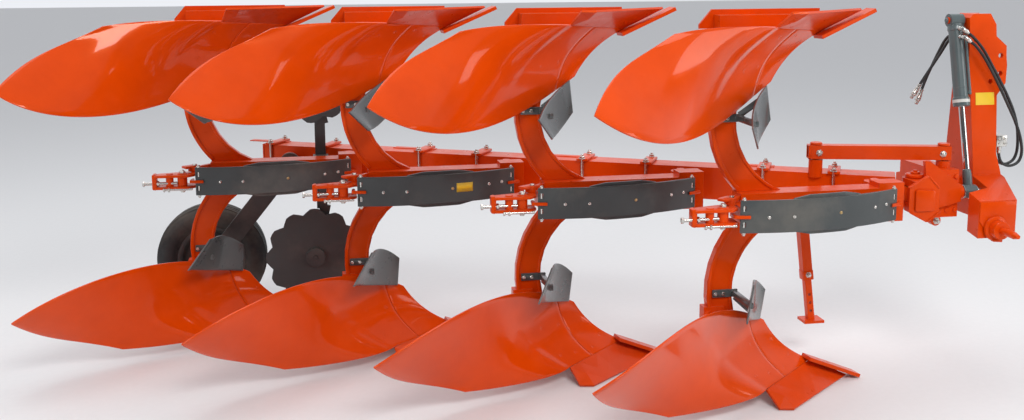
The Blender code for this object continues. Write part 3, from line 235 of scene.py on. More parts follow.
def makeMaterial(name, look):
    material = bpy.data.materials.new(name)
    material.use_nodes = True
    tree = material.node_tree
    shader = tree.nodes["Principled BSDF"]
    place = node(tree, "ShaderNodeTexCoord").outputs["Object"]
    tone = node(tree, "ShaderNodeTexNoise", {"Vector": place, "Scale": 2.6, "Detail": 5.0, "Roughness": 0.6})
    depth = node(tree, "ShaderNodeMapRange", {"Value": tone.outputs["Fac"], "From Min": 0.35, "From Max": 0.68,
                                              "To Max": 0.45})
    body = node(tree, "ShaderNodeMix", {0: depth.outputs["Result"], 6: (*look["colour"], 1),
                                        7: (*look["shade"], 1)},
                data_type="RGBA")
    # edges pale towards the edge colour: partly real wear, partly a painted edge highlight
    wornAndHighlitEdge = node(tree, "ShaderNodeGroup", node_tree=edges)
    tree.links.new(place, wornAndHighlitEdge.inputs["Coordinates"])
    wornAndHighlitEdge.inputs["Amount"].default_value = look["wearAndHighlight"]
    withEdgeWearAndHighlight = node(tree, "ShaderNodeMix", {0: wornAndHighlitEdge.outputs["Mask"], 6: body.outputs[2], 7: (*look["wornAndHighlitEdge"], 1)},
                 data_type="RGBA")
    dust = node(tree, "ShaderNodeGroup", node_tree=grime)
    tree.links.new(place, dust.inputs["Coordinates"])
    dust.inputs["Amount"].default_value = look["dust"]
    dust.inputs["Upward"].default_value = look["upward"]
    dusty = node(tree, "ShaderNodeMix", {0: dust.outputs["Mask"], 6: withEdgeWearAndHighlight.outputs[2],
                                         7: (0.34, 0.29, 0.23, 1)},
                 data_type="RGBA")
    tree.links.new(dusty.outputs[2], shader.inputs["Base Color"])
    smear = node(tree, "ShaderNodeTexNoise", {"Vector": place, "Scale": 14.0, "Detail": 6.0, "Roughness": 0.7})
    rough = node(tree, "ShaderNodeMapRange", {"Value": smear.outputs["Fac"], "From Min": 0.3, "From Max": 0.75,
                                              "To Min": look["rough"] * 0.75, "To Max": look["rough"] * 1.35})
    mixed = node(tree, "ShaderNodeMath", {0: dust.outputs["Mask"], 1: 0.5, 2: rough.outputs["Result"]},
                 operation="MULTIPLY_ADD",
                 use_clamp=True)
    tree.links.new(mixed.outputs[0], shader.inputs["Roughness"])
    grain = node(tree, "ShaderNodeTexNoise", {"Vector": place, "Scale": look["grain"], "Detail": 3.0})
    bump = node(tree, "ShaderNodeBump", {"Strength": look["peel"], "Distance": 0.002,
                                         "Height": grain.outputs["Fac"],
                                         "Normal": wornAndHighlitEdge.outputs["Normal"]})
    tree.links.new(bump.outputs["Normal"], shader.inputs["Normal"])
    shader.inputs["Metallic"].default_value = look.get("metal", 0.0)
    shader.inputs["Specular IOR Level"].default_value = look.get("specular", 0.5)
    shader.inputs["Specular Tint"].default_value = (*look.get("tint", (1, 1, 1)), 1)
    shader.inputs["Coat Weight"].default_value = look.get("coat", 0.0)
    shader.inputs["Coat Roughness"].default_value = 0.05
    return material


materials = {name: makeMaterial(name, look) for name, look in looks.items()}


def addObject(name, bm):
    bm.normal_update()
    mesh = bpy.data.meshes.new(name)
    bm.to_mesh(mesh)
    bm.free()
    obj = bpy.data.objects.new(name, mesh)
    bpy.context.scene.collection.objects.link(obj)
    return obj


def baked(obj):
    bpy.context.view_layer.update()
    mesh = bpy.data.meshes.new_from_object(obj.evaluated_get(bpy.context.evaluated_depsgraph_get()))
    mesh.name = obj.name
    obj.modifiers.clear()
    obj.data = mesh
    return obj


def rounded(obj, width, segments=2, angle=35):
    bevel = obj.modifiers.new("round", "BEVEL")
    bevel.width = width
    bevel.segments = segments
    bevel.limit_method = "ANGLE"
    bevel.angle_limit = math.radians(angle)
    bevel.harden_normals = False
    return baked(obj)


def ready(obj, look, body, stands=(), smooth=35):
    obj.data.materials.clear()
    obj.data.materials.append(materials[look])
    if smooth:
        obj.data.shade_smooth()
        obj.data.set_sharp_from_angle(angle=math.radians(smooth))
    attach(obj, body)
    if stands:
        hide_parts(*stands)
    return obj


def join(name, objs):
    bm = bmesh.new()
    for obj in objs:
        bm.from_mesh(obj.data)
    for obj in objs:
        bpy.data.objects.remove(obj, do_unlink=True)
    return addObject(name, bm)


def prism(outline, lo, hi, plane="XZ", round=0.0, name="prism"):
    # an outline of world points in a plane, given depth along the third axis
    order = {"XZ": (0, 2, 1), "XY": (0, 1, 2), "YZ": (1, 2, 0)}[plane]
    bm = bmesh.new()
    rings = []
    for level in (lo, hi):
        ring = []
        for a, b in outline:
            place = [0, 0, 0]
            place[order[0]], place[order[1]], place[order[2]] = a, b, level
            ring.append(bm.verts.new(place))
        rings.append(ring)
    bm.faces.new(rings[0])
    bm.faces.new(rings[1][::-1])
    count = len(outline)
    for k in range(count):
        bm.faces.new((rings[0][k], rings[1][k], rings[1][(k + 1) % count], rings[0][(k + 1) % count]))
    bmesh.ops.recalc_face_normals(bm, faces=bm.faces)
    obj = addObject(name, bm)
    return rounded(obj, round) if round else obj


def beam(p, q, width, height, up=(0, 0, 1), round=0.0, name="beam"):
    p, q = Vector(p), Vector(q)
    along = (q - p).normalized()
    across = Vector(up).cross(along).normalized()
    bm = bmesh.new()
    bmesh.ops.create_cube(bm, size=1.0)
    bmesh.ops.scale(bm, vec=((q - p).length, width, height), verts=bm.verts)
    bmesh.ops.rotate(bm, matrix=Matrix((along, across, along.cross(across))).transposed(), verts=bm.verts)
    bmesh.ops.translate(bm, vec=(p + q) / 2, verts=bm.verts)
    obj = addObject(name, bm)
    return rounded(obj, round) if round else obj


def turned(profile, start, direction, sides=32, name="turned"):
    # profile of (distance along, radius), closed on the axis or on itself
    bm = bmesh.new()
    verts = [bm.verts.new((r, 0, h)) for h, r in profile]
    for a, b in zip(verts, verts[1:]):
        bm.edges.new((a, b))
    bmesh.ops.spin(bm, geom=bm.verts[:] + bm.edges[:], axis=(0, 0, 1), cent=(0, 0, 0), steps=sides,
                   angle=math.tau,
                   use_merge=True)
    bmesh.ops.remove_doubles(bm, verts=bm.verts, dist=0.00002)
    bmesh.ops.recalc_face_normals(bm, faces=bm.faces)
    bmesh.ops.rotate(bm, matrix=Vector((0, 0, 1)).rotation_difference(Vector(direction)).to_matrix(),
                     verts=bm.verts)
    bmesh.ops.translate(bm, vec=Vector(start), verts=bm.verts)
    return addObject(name, bm)


def peg(p, q, radius, round=0.0015, sides=20, name="peg"):
    p, q = Vector(p), Vector(q)
    length = (q - p).length
    profile = [(0, 0), (0, radius - round), (round, radius), (length - round, radius), (length, radius - round),
               (length, 0)]
    return turned(profile, p, q - p, sides, name)


def strand(points, radius, name):
    curve = bpy.data.curves.new(name, "CURVE")
    curve.dimensions = "3D"
    curve.bevel_depth = radius
    curve.bevel_resolution = 4
    curve.use_fill_caps = True
    spline = curve.splines.new("POLY")
    spline.points.add(len(points) - 1)
    for point, place in zip(spline.points, points):
        point.co = (*place, 1)
    obj = bpy.data.objects.new(name, curve)
    bpy.context.scene.collection.objects.link(obj)
    return obj


def smoothRoute(points, spacing):
    route = [Vector(p) for p in points]
    ends = [route[0] * 2 - route[1]] + route + [route[-1] * 2 - route[-2]]
    fine = []
    for a, b, c, d in zip(ends, ends[1:], ends[2:], ends[3:]):
        for k in range(20):
            t = k / 20
            fine.append(0.5 * ((2 * b) + (c - a) * t + (2 * a - 5 * b + 4 * c - d) * t ** 2
                               + (3 * b - a - 3 * c + d) * t ** 3))
    fine.append(route[-1])
    lengths = [0.0]
    for a, b in zip(fine, fine[1:]):
        lengths.append(lengths[-1] + (b - a).length)
    count = round(lengths[-1] / spacing)
    out, k = [], 0
    for step in range(count + 1):
        target = lengths[-1] * step / count
        while k < len(fine) - 2 and lengths[k + 1] < target:
            k += 1
        out.append(fine[k].lerp(fine[k + 1], (target - lengths[k]) / (lengths[k + 1] - lengths[k])))
    return out, lengths[-1]


# repeated fasteners: one head, placed at many spots by Geometry Nodes

def fastenerTree():
    tree = bpy.data.node_groups.new("place fasteners", "GeometryNodeTree")
    for label, kind, way in (("Spots", "NodeSocketGeometry", "INPUT"), ("Head", "NodeSocketObject", "INPUT"),
                             ("Finish", "NodeSocketMaterial", "INPUT"),
                             ("Fasteners", "NodeSocketGeometry", "OUTPUT")):
        tree.interface.new_socket(label, in_out=way, socket_type=kind)
    given, out = tree.nodes.new("NodeGroupInput"), tree.nodes.new("NodeGroupOutput")
    head = node(tree, "GeometryNodeObjectInfo", {"Object": given.outputs["Head"]})
    aim = node(tree, "GeometryNodeInputNamedAttribute", {"Name": "aim"}, data_type="FLOAT_VECTOR")
    size = node(tree, "GeometryNodeInputNamedAttribute", {"Name": "size"}, data_type="FLOAT")
    align = node(tree, "FunctionNodeAlignRotationToVector", {"Vector": aim.outputs["Attribute"]}, axis="Z")
    placed = node(tree, "GeometryNodeInstanceOnPoints", {"Points": given.outputs["Spots"],
                                                         "Instance": head.outputs["Geometry"],
                                                         "Rotation": align.outputs[0],
                                                         "Scale": size.outputs["Attribute"]})
    real = node(tree, "GeometryNodeRealizeInstances", {"Geometry": placed.outputs[0]})
    done = node(tree, "GeometryNodeSetMaterial", {"Geometry": real.outputs[0],
                                                  "Material": given.outputs["Finish"]})
    tree.links.new(done.outputs[0], out.inputs[0])
    return tree


placing = fastenerTree()


def headMesh(kind):
    # heads of unit radius, standing on z = 0
    shapes = {
        "hex": ([(-0.1, 0), (-0.1, 1.0), (0.52, 1.0), (0.66, 0.82), (0.66, 0)], 6),
        "nut": ([(-0.1, 0), (-0.1, 1.30), (0.14, 1.30), (0.14, 1.0), (0.80, 1.0), (0.92, 0.84), (0.92, 0.55),
                 (1.45, 0.55),
                 (1.5, 0.48), (1.5, 0)], 6),
        "dome": ([(-0.1, 0), (-0.1, 1.0), (0.16, 1.0), (0.36, 0.86), (0.52, 0.60), (0.60, 0.3), (0.62, 0)], 20),
        "plug": ([(-0.3, 0), (-0.3, 1.0), (0.03, 1.0), (0.05, 0.93), (0.02, 0.86), (0.02, 0.42), (-0.06, 0.36),
                  (-0.06, 0)], 20),
        "washer": ([(-0.1, 0), (-0.1, 1.45), (0.12, 1.45), (0.16, 1.38), (0.16, 0)], 24),
    }
    profile, sides = shapes[kind]
    obj = turned(profile, (0, 0, 0), (0, 0, 1), sides, "head")
    obj.hide_render = True
    return obj


heads = {kind: headMesh(kind) for kind in ("hex", "nut", "dome", "plug", "washer")}


def fasteners(name, kind, look, body, spots):
    # spots are (place, direction, radius)
    mesh = bpy.data.meshes.new(name)
    mesh.from_pydata([tuple(place) for place, _, _ in spots], [], [])
    mesh.attributes.new("aim", "FLOAT_VECTOR", "POINT")
    mesh.attributes.new("size", "FLOAT", "POINT")
    for k, (_, direction, radius) in enumerate(spots):
        mesh.attributes["aim"].data[k].vector = Vector(direction).normalized()
        mesh.attributes["size"].data[k].value = radius
    obj = bpy.data.objects.new(name, mesh)
    bpy.context.scene.collection.objects.link(obj)
    modifier = obj.modifiers.new("place", "NODES")
    modifier.node_group = placing
    for item in placing.interface.items_tree:
        if item.in_out == "INPUT" and item.name == "Head":
            modifier[item.identifier] = heads[kind]
        if item.in_out == "INPUT" and item.name == "Finish":
            modifier[item.identifier] = materials[look]
    heads[kind].hide_viewport = False
    return ready(baked(obj), look, body)


hoseRadius = 0.0075
routes = {
    "cylinder_hose_near": [(0.603, 0.118, 1.718), (0.6275, 0.111, 1.697), (0.676, 0.101, 1.640),
                           (0.726, 0.095, 1.560),
                           (0.776, 0.092, 1.478), (0.826, 0.094, 1.395), (0.870, 0.101, 1.315),
                           (0.903, 0.112, 1.235),
                           (0.921, 0.124, 1.160), (0.924, 0.132, 1.095), (0.9063, 0.136, 1.0522),
                           (0.8635, 0.138, 1.0345),
                           (0.8207, 0.138, 1.0522), (0.803, 0.138, 1.095), (0.803, 0.138, 1.1347)],
    "cylinder_hose_far": [(0.603, 0.093, 1.676), (0.6275, 0.086, 1.655), (0.672, 0.077, 1.597),
                          (0.722, 0.070, 1.515),
                          (0.770, 0.067, 1.430), (0.815, 0.067, 1.350), (0.862, 0.073, 1.270),
                          (0.903, 0.084, 1.190),
                          (0.928, 0.096, 1.108), (0.9165, 0.101, 1.0525), (0.870, 0.104, 1.031),
                          (0.8225, 0.104, 1.0497),
                          (0.803, 0.104, 1.095), (0.803, 0.104, 1.1347)],
    "supply_hose_near": [(0.803, 0.262, 1.1953), (0.803, 0.263, 1.240), (0.806, 0.275, 1.310),
                         (0.807, 0.290, 1.390),
                         (0.803, 0.296, 1.470), (0.788, 0.296, 1.545), (0.762, 0.294, 1.612),
                         (0.730, 0.291, 1.6683),
                         (0.7025, 0.289, 1.6958), (0.665, 0.287, 1.7058), (0.6275, 0.288, 1.6958),
                         (0.600, 0.290, 1.6683),
                         (0.567, 0.295, 1.611), (0.534, 0.303, 1.554), (0.501, 0.311, 1.497),
                         (0.4685, 0.318, 1.441)],
    "supply_hose_far": [(0.803, 0.296, 1.1953), (0.803, 0.297, 1.240), (0.806, 0.309, 1.310),
                        (0.807, 0.322, 1.390),
                        (0.803, 0.328, 1.470), (0.788, 0.328, 1.545), (0.762, 0.326, 1.612),
                        (0.730, 0.323, 1.6683),
                        (0.7025, 0.321, 1.6958), (0.665, 0.319, 1.7058), (0.6275, 0.320, 1.6958),
                        (0.600, 0.322, 1.6683),
                        (0.570, 0.327, 1.606), (0.544, 0.335, 1.540), (0.520, 0.343, 1.475),
                        (0.500, 0.349, 1.412)],
}
for name, route in routes.items():
    places, length = smoothRoute([at(*p) for p in route], 0.012)
    hose = strand(places, hoseRadius, name + "_tube")
    supply = name.startswith("supply")
    if not supply:
        # these two hang from the cylinder's upper end, which swings; here they are only turned into meshes and
        # not attached to it
        mesh = bpy.data.meshes.new_from_object(hose.evaluated_get(bpy.context.evaluated_depsgraph_get()))
        bpy.data.objects.remove(hose, do_unlink=True)
        hose = bpy.data.objects.new(name + "_tube", mesh)
        bpy.context.scene.collection.objects.link(hose)
        mesh.shade_smooth()
    hose.data.materials.clear()
    hose.data.materials.append(materials["hose"])
    if supply:
        coupler = name.replace("hose", "coupler")
        along = (places[-1] - places[-2]).normalized()
        profile = [(0, 0), (0, 0.0112), (0.010, 0.0112), (0.010, 0.0105), (0.020, 0.0105), (0.020, 0.0125),
                   (0.032, 0.0125),
                   (0.032, 0.0148), (0.036, 0.0150), (0.038, 0.0138), (0.041, 0.0150), (0.044, 0.0138),
                   (0.047, 0.0150),
                   (0.062, 0.0150), (0.064, 0.0140), (0.066, 0.0105), (0.078, 0.0105), (0.080, 0.0090),
                   (0.0845, 0.0085),
                   (0.0845, 0.0050), (0.070, 0.0045), (0.070, 0)]
        body = turned(profile, places[-1] + along * 0.0003, along, 28, coupler + "_body")
        ready(body, "steel", "headstock", [coupler])
        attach(hose, "headstock")
    else:
        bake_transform(hose)
    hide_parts(name)
print("hoses", len(routes))


shinFoot, shinTop, tail = Vector((-0.253, -0.016, 0.108)), Vector((-0.521, -0.054, 0.343)), Vector((-1.588,
                                                                                                    -0.864,
                                                                                                    0.365))
heel, wing = Vector((-1.151, -0.510, 0.083)), Vector((-0.591, -0.272, 0.078))
bends = {"shin": ((-0.371, -0.025, 0.164), (-0.451, -0.031, 0.226)),
         "top": ((-0.882, -0.195, 0.565), (-1.270, -0.960, 0.592)),
         "rear": ((-1.378, -0.608, 0.192), (-1.470, -0.673, 0.198)),
         "bottom": ((-0.674, -0.387, 0.065), (-0.975, -0.415, 0.048))}


def bezier(a, b, c, d, t):
    s = 1 - t
    return Vector(a) * s ** 3 + Vector(b) * (3 * s * s * t) + Vector(c) * (3 * s * t * t) + Vector(d) * t ** 3


def boardFace(u, v):
    share = 0.4
    bottom = shinFoot.lerp(wing, u / share) if u < share else bezier(wing, *bends["bottom"], heel,
                                                                     (u - share) / (1 - share))
    top = bezier(shinTop, *bends["top"], tail, u)
    front = bezier(shinFoot, *bends["shin"], shinTop, v)
    rear = bezier(heel, *bends["rear"], tail, v)
    mixed = shinFoot * (1 - u) * (1 - v) + heel * u * (1 - v) + shinTop * (1 - u) * v + tail * u * v
    face = bottom * (1 - v) + top * v + front * (1 - u) + rear * u - mixed
    return face + Vector((-0.35, 0.8,
                          -0.45)).normalized() * (0.03 * math.sin(math.pi * u) * math.sin(math.pi * v))


def boardNormal(index, side, u, v):
    e = 0.004
    a = bodyPoint(index, side, boardFace(u + e, v)) - bodyPoint(index, side, boardFace(u - e, v))
    b = bodyPoint(index, side, boardFace(u, v + e)) - bodyPoint(index, side, boardFace(u, v - e))
    normal = a.cross(b).normalized()
    return normal if normal.y < 0 else -normal


def sheetFrom(grid, index, side, thick, name):
    bm = bmesh.new()
    verts = [[bm.verts.new(bodyPoint(index, side, p)) for p in row] for row in grid]
    for r in range(len(grid) - 1):
        for c in range(len(grid[0]) - 1):
            ring = [verts[r][c], verts[r][c + 1], verts[r + 1][c + 1], verts[r + 1][c]]
            bm.faces.new(ring if side < 0 else ring[::-1])
    obj = addObject(name, bm)
    solid = obj.modifiers.new("thick", "SOLIDIFY")
    solid.thickness = thick
    solid.offset = -1
    solid.use_even_offset = False
    return rounded(baked(obj), thick * 0.16, 2, 60)


boardData = {"rows": 26, "cols": 52, "shinCols": 12, "thick": 0.0088, "plug": 0.0105, "gap": 0.0012,
             "joint": (0.235, 0.10),      # where the shin's joint meets the share and the top edge
             "plugs": ((0.05, 0.25), (0.05, 0.60), (0.17, 0.10), (0.28, 0.12), (0.36, 0.16), (0.20, 0.55),
                       (0.30, 0.55))}


def makeBoard(index, side):
    # the shin and the board proper, with a narrow joint between them, and the plug bolts that hold both
    name, body = nameOf(index, side)
    rows, cols, shinCols, thick = (boardData[key] for key in ("rows", "cols", "shinCols", "thick"))
    foot, top = boardData["joint"]
    front, back = [], []
    for r in range(rows + 1):
        v = r / rows
        s = foot + (top - foot) * v
        front.append([boardFace((s - boardData["gap"]) * (1 - c / shinCols), v) for c in range(shinCols + 1)])
        back.append([boardFace(1 - (1 - s - boardData["gap"]) * c / cols, v) for c in range(cols + 1)])
    pieces = [sheetFrom(front, index, side, thick, "shin"), sheetFrom(back, index, side, thick, "board")]
    ready(join(f"board_{name}", pieces), "board", body, [f"moldboard_{name}"], 60)
    spots = [(bodyPoint(index, side, boardFace(u, v)), boardNormal(index, side, u, v), boardData["plug"])
             for u, v in boardData["plugs"]]
    fasteners(f"board_bolts_{name}", "plug", "board", body, spots)


for bodyIndex, bodySide in everyBody:
    makeBoard(bodyIndex, bodySide)
print("boards")


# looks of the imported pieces, for the ones that stay in sight
for name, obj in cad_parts.items():
    if name.startswith(("trash_board", "leaf_spring", "disc_", "wheel_arm", "depth_wheel_rim")):
        look = "dark"
    elif name == "depth_wheel_tyre":
        look = "tyre"
    elif name == "cylinder_barrel":
        look = "barrel"
    elif name == "cylinder_rod":
        look = "chrome"
    elif name.startswith(("valve_block", "supply_coupler")):
        look = "steel"
    elif "hose" in name:
        look = "hose"
    else:
        look = "orange"
    obj.data.materials.clear()
    obj.data.materials.append(materials[look])


springData = {"rear": (-0.764, -0.319), "front": (0.069, -0.206), "bow": 0.07, "thick": 0.014, "height": 0.152,
              "length": 0.85, "shortHeight": 0.185, "short": (0.30, 0.72), "taper": 0.16,
              "slot": (0.0075, 0.0135), "slotHeight": 0.036, "pinInset": 0.017, "pinDepth": 0.0078,
              "pin": 0.0062,
              "bolts": ((0.155, -0.004), (0.295, -0.004), (0.815, 0.006), (0.905, 0.010)), "centreBolt": 0.575,
              "tongue": 0.055, "tongueHalf": 0.008, "label": (0.60, 0.705, -0.022, 0.026)}


def springArc():
    rear, fore = Vector(springData["rear"]), Vector(springData["front"])
    chord = fore - rear
    radius = (chord.length ** 2 / 4 + springData["bow"] ** 2) / (2 * springData["bow"])
    centre = (rear + fore) / 2 + Vector((-chord.y, chord.x)) / chord.length * (radius - springData["bow"])
    return centre, radius, math.asin(chord.length / 2 / radius), math.atan2(chord.y, chord.x)


def onSpring(index, t, inset, z):
    # a point on the leaf: t from the rear end to the front, inset behind the face, z from the middle
    centre, radius, half, lean = springArc()
    a = -math.pi / 2 + lean + half * (2 * t - 1)
    return sidePoint(index, 1, centre.x + (radius - inset) * math.cos(a),
                     centre.y + (radius - inset) * math.sin(a), z)


def springOut(index, t):
    return (onSpring(index, t, -1, 0) - onSpring(index, t, 0, 0)).normalized()


def leafGrid(start, stop, low, high, front, back, holes, name, index, cols=60, rows=12):
    # a curved plate in cells, with the cells inside a hole left out
    bm = bmesh.new()
    height = lambda r: low + (high - low) * r / rows
    place = lambda c: start + (stop - start) * c / cols
    verts = {}

    def vert(c, r, side):
        key = (c, r, side)
        if key not in verts:
            verts[key] = bm.verts.new(onSpring(index, place(c), front if side else back, height(r)))
        return verts[key]

    def solid(c, r):
        if not (0 <= c < cols and 0 <= r < rows):
            return False
        t, z = place(c + 0.5) * springData["length"], height(r + 0.5)
        return not any(abs(t - a) < w and abs(z - b) < h for a, b, w, h in holes)

    for c in range(cols):
        for r in range(rows):
            if not solid(c, r):
                continue
            bm.faces.new([vert(c, r, 1), vert(c + 1, r, 1), vert(c + 1, r + 1, 1), vert(c, r + 1, 1)])
            bm.faces.new([vert(c, r, 0), vert(c, r + 1, 0), vert(c + 1, r + 1, 0), vert(c + 1, r, 0)])
            for (dc, dr), (p, q) in {(-1, 0): ((c, r), (c, r + 1)), (1, 0): ((c + 1, r + 1), (c + 1, r)),
                                     (0, -1): ((c + 1, r), (c, r)),
                                     (0, 1): ((c, r + 1), (c + 1, r + 1))}.items():
                if not solid(c + dc, r + dr):
                    bm.faces.new([vert(*p, 1), vert(*q, 1), vert(*q, 0), vert(*p, 0)])
    bmesh.ops.recalc_face_normals(bm, faces=bm.faces)
    return rounded(addObject(name, bm), 0.0018, 2, 50)


def makeSpring(index):
    number, body = index + 1, f"carrier_{index + 1}"
    half, thick, length = springData["height"] / 2, springData["thick"], springData["length"]
    inset, depth = springData["pinInset"], springData["pinDepth"]
    holes = [(t, z, *springData["slot"]) for t in (inset, length - inset)
             for z in (springData["slotHeight"], -springData["slotHeight"])]
    leaf = leafGrid(0, 1, -half, half, 0, thick, holes, "leaf", index, 170, 24)
    low, high = springData["short"]
    shortHalf = springData["shortHeight"] / 2
    short = leafGrid(low, high, -shortHalf, shortHalf, thick - 0.0002, 2 * thick, [], "short", index, 40, 6)
    middle = onSpring(index, (low + high) / 2, 0, 0)
    for vert in short.data.vertices:
        # the short leaf's top and bottom edges taper to its ends
        reach = (vert.co - middle).xy.length / (length * (high - low) / 2)
        share = 1 - springData["taper"] * max(0.0, reach - 0.55) / 0.45
        vert.co.z = axisZ + (vert.co.z - axisZ) * share
    ready(join(f"spring_leaves_{number}", [leaf, short]), "dark", body, [f"leaf_spring_{number}"], 40)
    bolts = [(onSpring(index, t, 0, z), springOut(index, t), 0.0085) for t, z in springData["bolts"]]
    fasteners(f"spring_bolts_{number}", "dome", "steel", body, bolts)
    centre = springData["centreBolt"]
    fasteners(f"spring_centre_bolt_{number}", "dome", "brass", body,
              [(onSpring(index, centre, 0, 0.0), springOut(index, centre), 0.0080)])
    pins, nuts = [], []
    for t in (inset / length, 1 - inset / length):
        low, high = onSpring(index, t, depth, -half - 0.014), onSpring(index, t, depth, half + 0.014)
        pins.append(peg(low, high, springData["pin"], 0.001, 16))
        for up in (1, -1):
            nuts.append((onSpring(index, t, depth, up * (half + 0.0005)), (0, 0, up), 0.0105))
    ready(join(f"spring_pins_{number}", pins), "steel", body)
    fasteners(f"spring_pin_nuts_{number}", "hex", "steel", body, nuts)
    tongues = []
    for t, way in ((0.0, 1), (1.0, -1)):
        face, tip = onSpring(index, t, -0.010, 0), onSpring(index, t + way * springData["tongue"], -0.010, 0)
        end = onSpring(index, t, 0, 0)
        root, back = face + (face - tip) * 0.6, onSpring(index, t, 0.045, 0) + (end - tip) * 0.75
        outline = (back, root, tip, onSpring(index, t + way * 0.05, -0.0005, 0),
                   onSpring(index, t, -0.0005, 0) + (end - tip) * 0.22, back + (tip - root) * 0.2)
        tongues.append(prism([(p.x, p.y) for p in outline], axisZ - springData["tongueHalf"],
                             axisZ + springData["tongueHalf"], "XY", 0.003))
    ready(join(f"spring_tongues_{number}", tongues), "orange", body)
    if index == 2:
        patch = leafGrid(*springData["label"], -0.0006, -0.0001, [], "patch", index, 12, 2)
        ready(patch, "label", body).name = "spring_label"


for springIndex in range(4):
    makeSpring(springIndex)
print("springs")


legData = {"rear": -0.836, "root": 0.03, "foot": 0.12, "bow": 0.184, "face": -0.095,
           "lips": ((0.001, 0.020, 0.0075), (0.112, 0.1265, 0.006))}      # outer and inner edge, and how proud


def makeLegTrim(index, side):
    # the rolled lip along both edges of a leg
    name, body = nameOf(index, side)
    half = (axisZ - legData["foot"] - legData["root"]) / 2
    radius = (half ** 2 + legData["bow"] ** 2) / (2 * legData["bow"])
    x, z = legData["rear"] + radius, legData["root"] + half
    parts = []
    for outside, inside, proud in legData["lips"]:
        start, stop = -math.asin((z - 0.075) / (radius - outside)), math.asin(half / radius) * 0.62
        outline = []
        for r, order in ((radius - outside, 1), (radius - inside, -1)):
            angles = [start + (stop - start) * k / 26 for k in range(27)][::order]
            outline += [(x - r * math.cos(a), z + r * math.sin(a)) for a in angles]
        places = [sidePoint(index, side, a, 0, b) for a, b in outline]
        low = sidePoint(index, side, 0, legData["face"], 0).y - proud
        parts.append(prism([(p.x, p.z) for p in places], low, low + proud + 0.004, "XZ", 0.003))
    ready(join(f"leg_lips_{name}", parts), "orange", body)


for bodyIndex, bodySide in everyBody:
    makeLegTrim(bodyIndex, bodySide)
print("legs")


adjusterData = {"levels": (-0.034, 0.030),
                "fork": ((-0.985, -0.292), (-0.972, -0.318), (-0.80, -0.325), (-0.765, -0.290),
                         (-0.765, -0.215),
                         (-0.80, -0.205), (-0.972, -0.250)),
                "end": ((-0.990, -0.040), (-0.990, 0.040), (-0.972, 0.044), (-0.965, 0.030), (-0.965, -0.030),
                        (-0.972, -0.044))}


def makeAdjuster(index):
    # the width adjuster at the rear of each spring: a fork, an end plate and the bolts through them
    number, bodyName = index + 1, f"carrier_{index + 1}"
    middle = lambda x, y, z: sidePoint(index, 1, x, y, z)
    parts = []
    for z in adjusterData["levels"]:
        places = [middle(a, b, 0) for a, b in adjusterData["fork"]]
        parts.append(prism([(p.x, p.y) for p in places], axisZ + z - 0.006, axisZ + z + 0.008, "XY", 0.0035))
    places = [middle(a, 0, b) for a, b in adjusterData["end"]]
    y = middle(0, -0.31, 0).y
    parts.append(prism([(p.x, p.z) for p in places], y, y + 0.05, "XZ", 0.004))
    for x, y, r in ((-0.835, -0.285, 0.026), (-0.90, -0.29, 0.020)):
        parts.append(peg(middle(x, y, -0.042), middle(x, y, 0.044), r, 0.004, 24))
    parts.append(beam(middle(-0.80, -0.24, 0.052), middle(-0.70, -0.13, 0.052), 0.03, 0.022, round=0.004))
    parts.append(beam(middle(-0.83, -0.25, 0.066), middle(-0.76, -0.20, 0.066), 0.05, 0.014, round=0.004))
    parts.append(peg(middle(-0.775, -0.235, 0.030), middle(-0.775, -0.235, 0.075), 0.018, 0.003, 20))
    ready(join(f"adjuster_fork_{number}", parts), "orange", bodyName)
    rods = [peg(middle(-1.035, -0.300, -0.008), middle(-0.86, -0.300, -0.008), 0.0085, 0.001, 18),
            peg(middle(-0.93, -0.316, -0.040), middle(-0.78, -0.320, -0.040), 0.0065, 0.001, 18),
            peg(middle(-0.835, -0.285, -0.062), middle(-0.835, -0.285, 0.060), 0.011, 0.001, 20)]
    ready(join(f"adjuster_bolts_{number}", rods), "steel", bodyName)
    nuts = [(middle(-1.030, -0.300, -0.008), (-1, 0, 0), 0.0150),
            (middle(-0.962, -0.300, -0.008), (1, 0, 0), 0.0150),
            (middle(-0.925, -0.316, -0.040), (-1, 0, 0), 0.0125),
            (middle(-0.90, -0.317, -0.040), (-1, 0, 0), 0.0135),
            (middle(-0.835, -0.285, 0.045), (0, 0, 1), 0.0170),
            (middle(-0.835, -0.285, -0.045), (0, 0, -1), 0.0170),
            (middle(-0.775, -0.235, 0.075), (0, 0, 1), 0.0120)]
    fasteners(f"adjuster_nuts_{number}", "hex", "steel", bodyName, nuts)


for adjusterIndex in range(4):
    makeAdjuster(adjusterIndex)
print("adjusters")


wheelData = {"wall": ((-0.078, 0.2005), (-0.082, 0.212), (-0.090, 0.220), (-0.097, 0.235), (-0.0995, 0.252),
                      (-0.0985, 0.270), (-0.094, 0.288), (-0.088, 0.297), (-0.0865, 0.303), (-0.082, 0.308),
                      (-0.076, 0.3165)),
             "ribs": (-0.058, -0.030, 0.0, 0.030, 0.058), "ribTop": 0.3245, "ribFoot": 0.3150,
             "dish": ((-0.075, 0.021), (-0.075, 0.040), (-0.070, 0.046), (-0.060, 0.048), (-0.024, 0.052),
                      (-0.018, 0.060), (-0.010, 0.075), (-0.006, 0.095), (-0.012, 0.125), (-0.022, 0.148),
                      (-0.034, 0.160), (-0.050, 0.166), (-0.066, 0.172), (-0.074, 0.180), (-0.078, 0.190),
                      (-0.079, 0.1995), (0.079, 0.1995), (0.079, 0.192), (-0.052, 0.188), (-0.048, 0.176),
                      (-0.030, 0.170), (-0.012, 0.156), (0.002, 0.126), (0.008, 0.095), (0.004, 0.070),
                      (0.006, 0.060), (0.070, 0.050), (0.075, 0.044), (0.075, 0.021)),
             "nuts": 5, "nutCircle": 0.085, "nut": 0.0125}


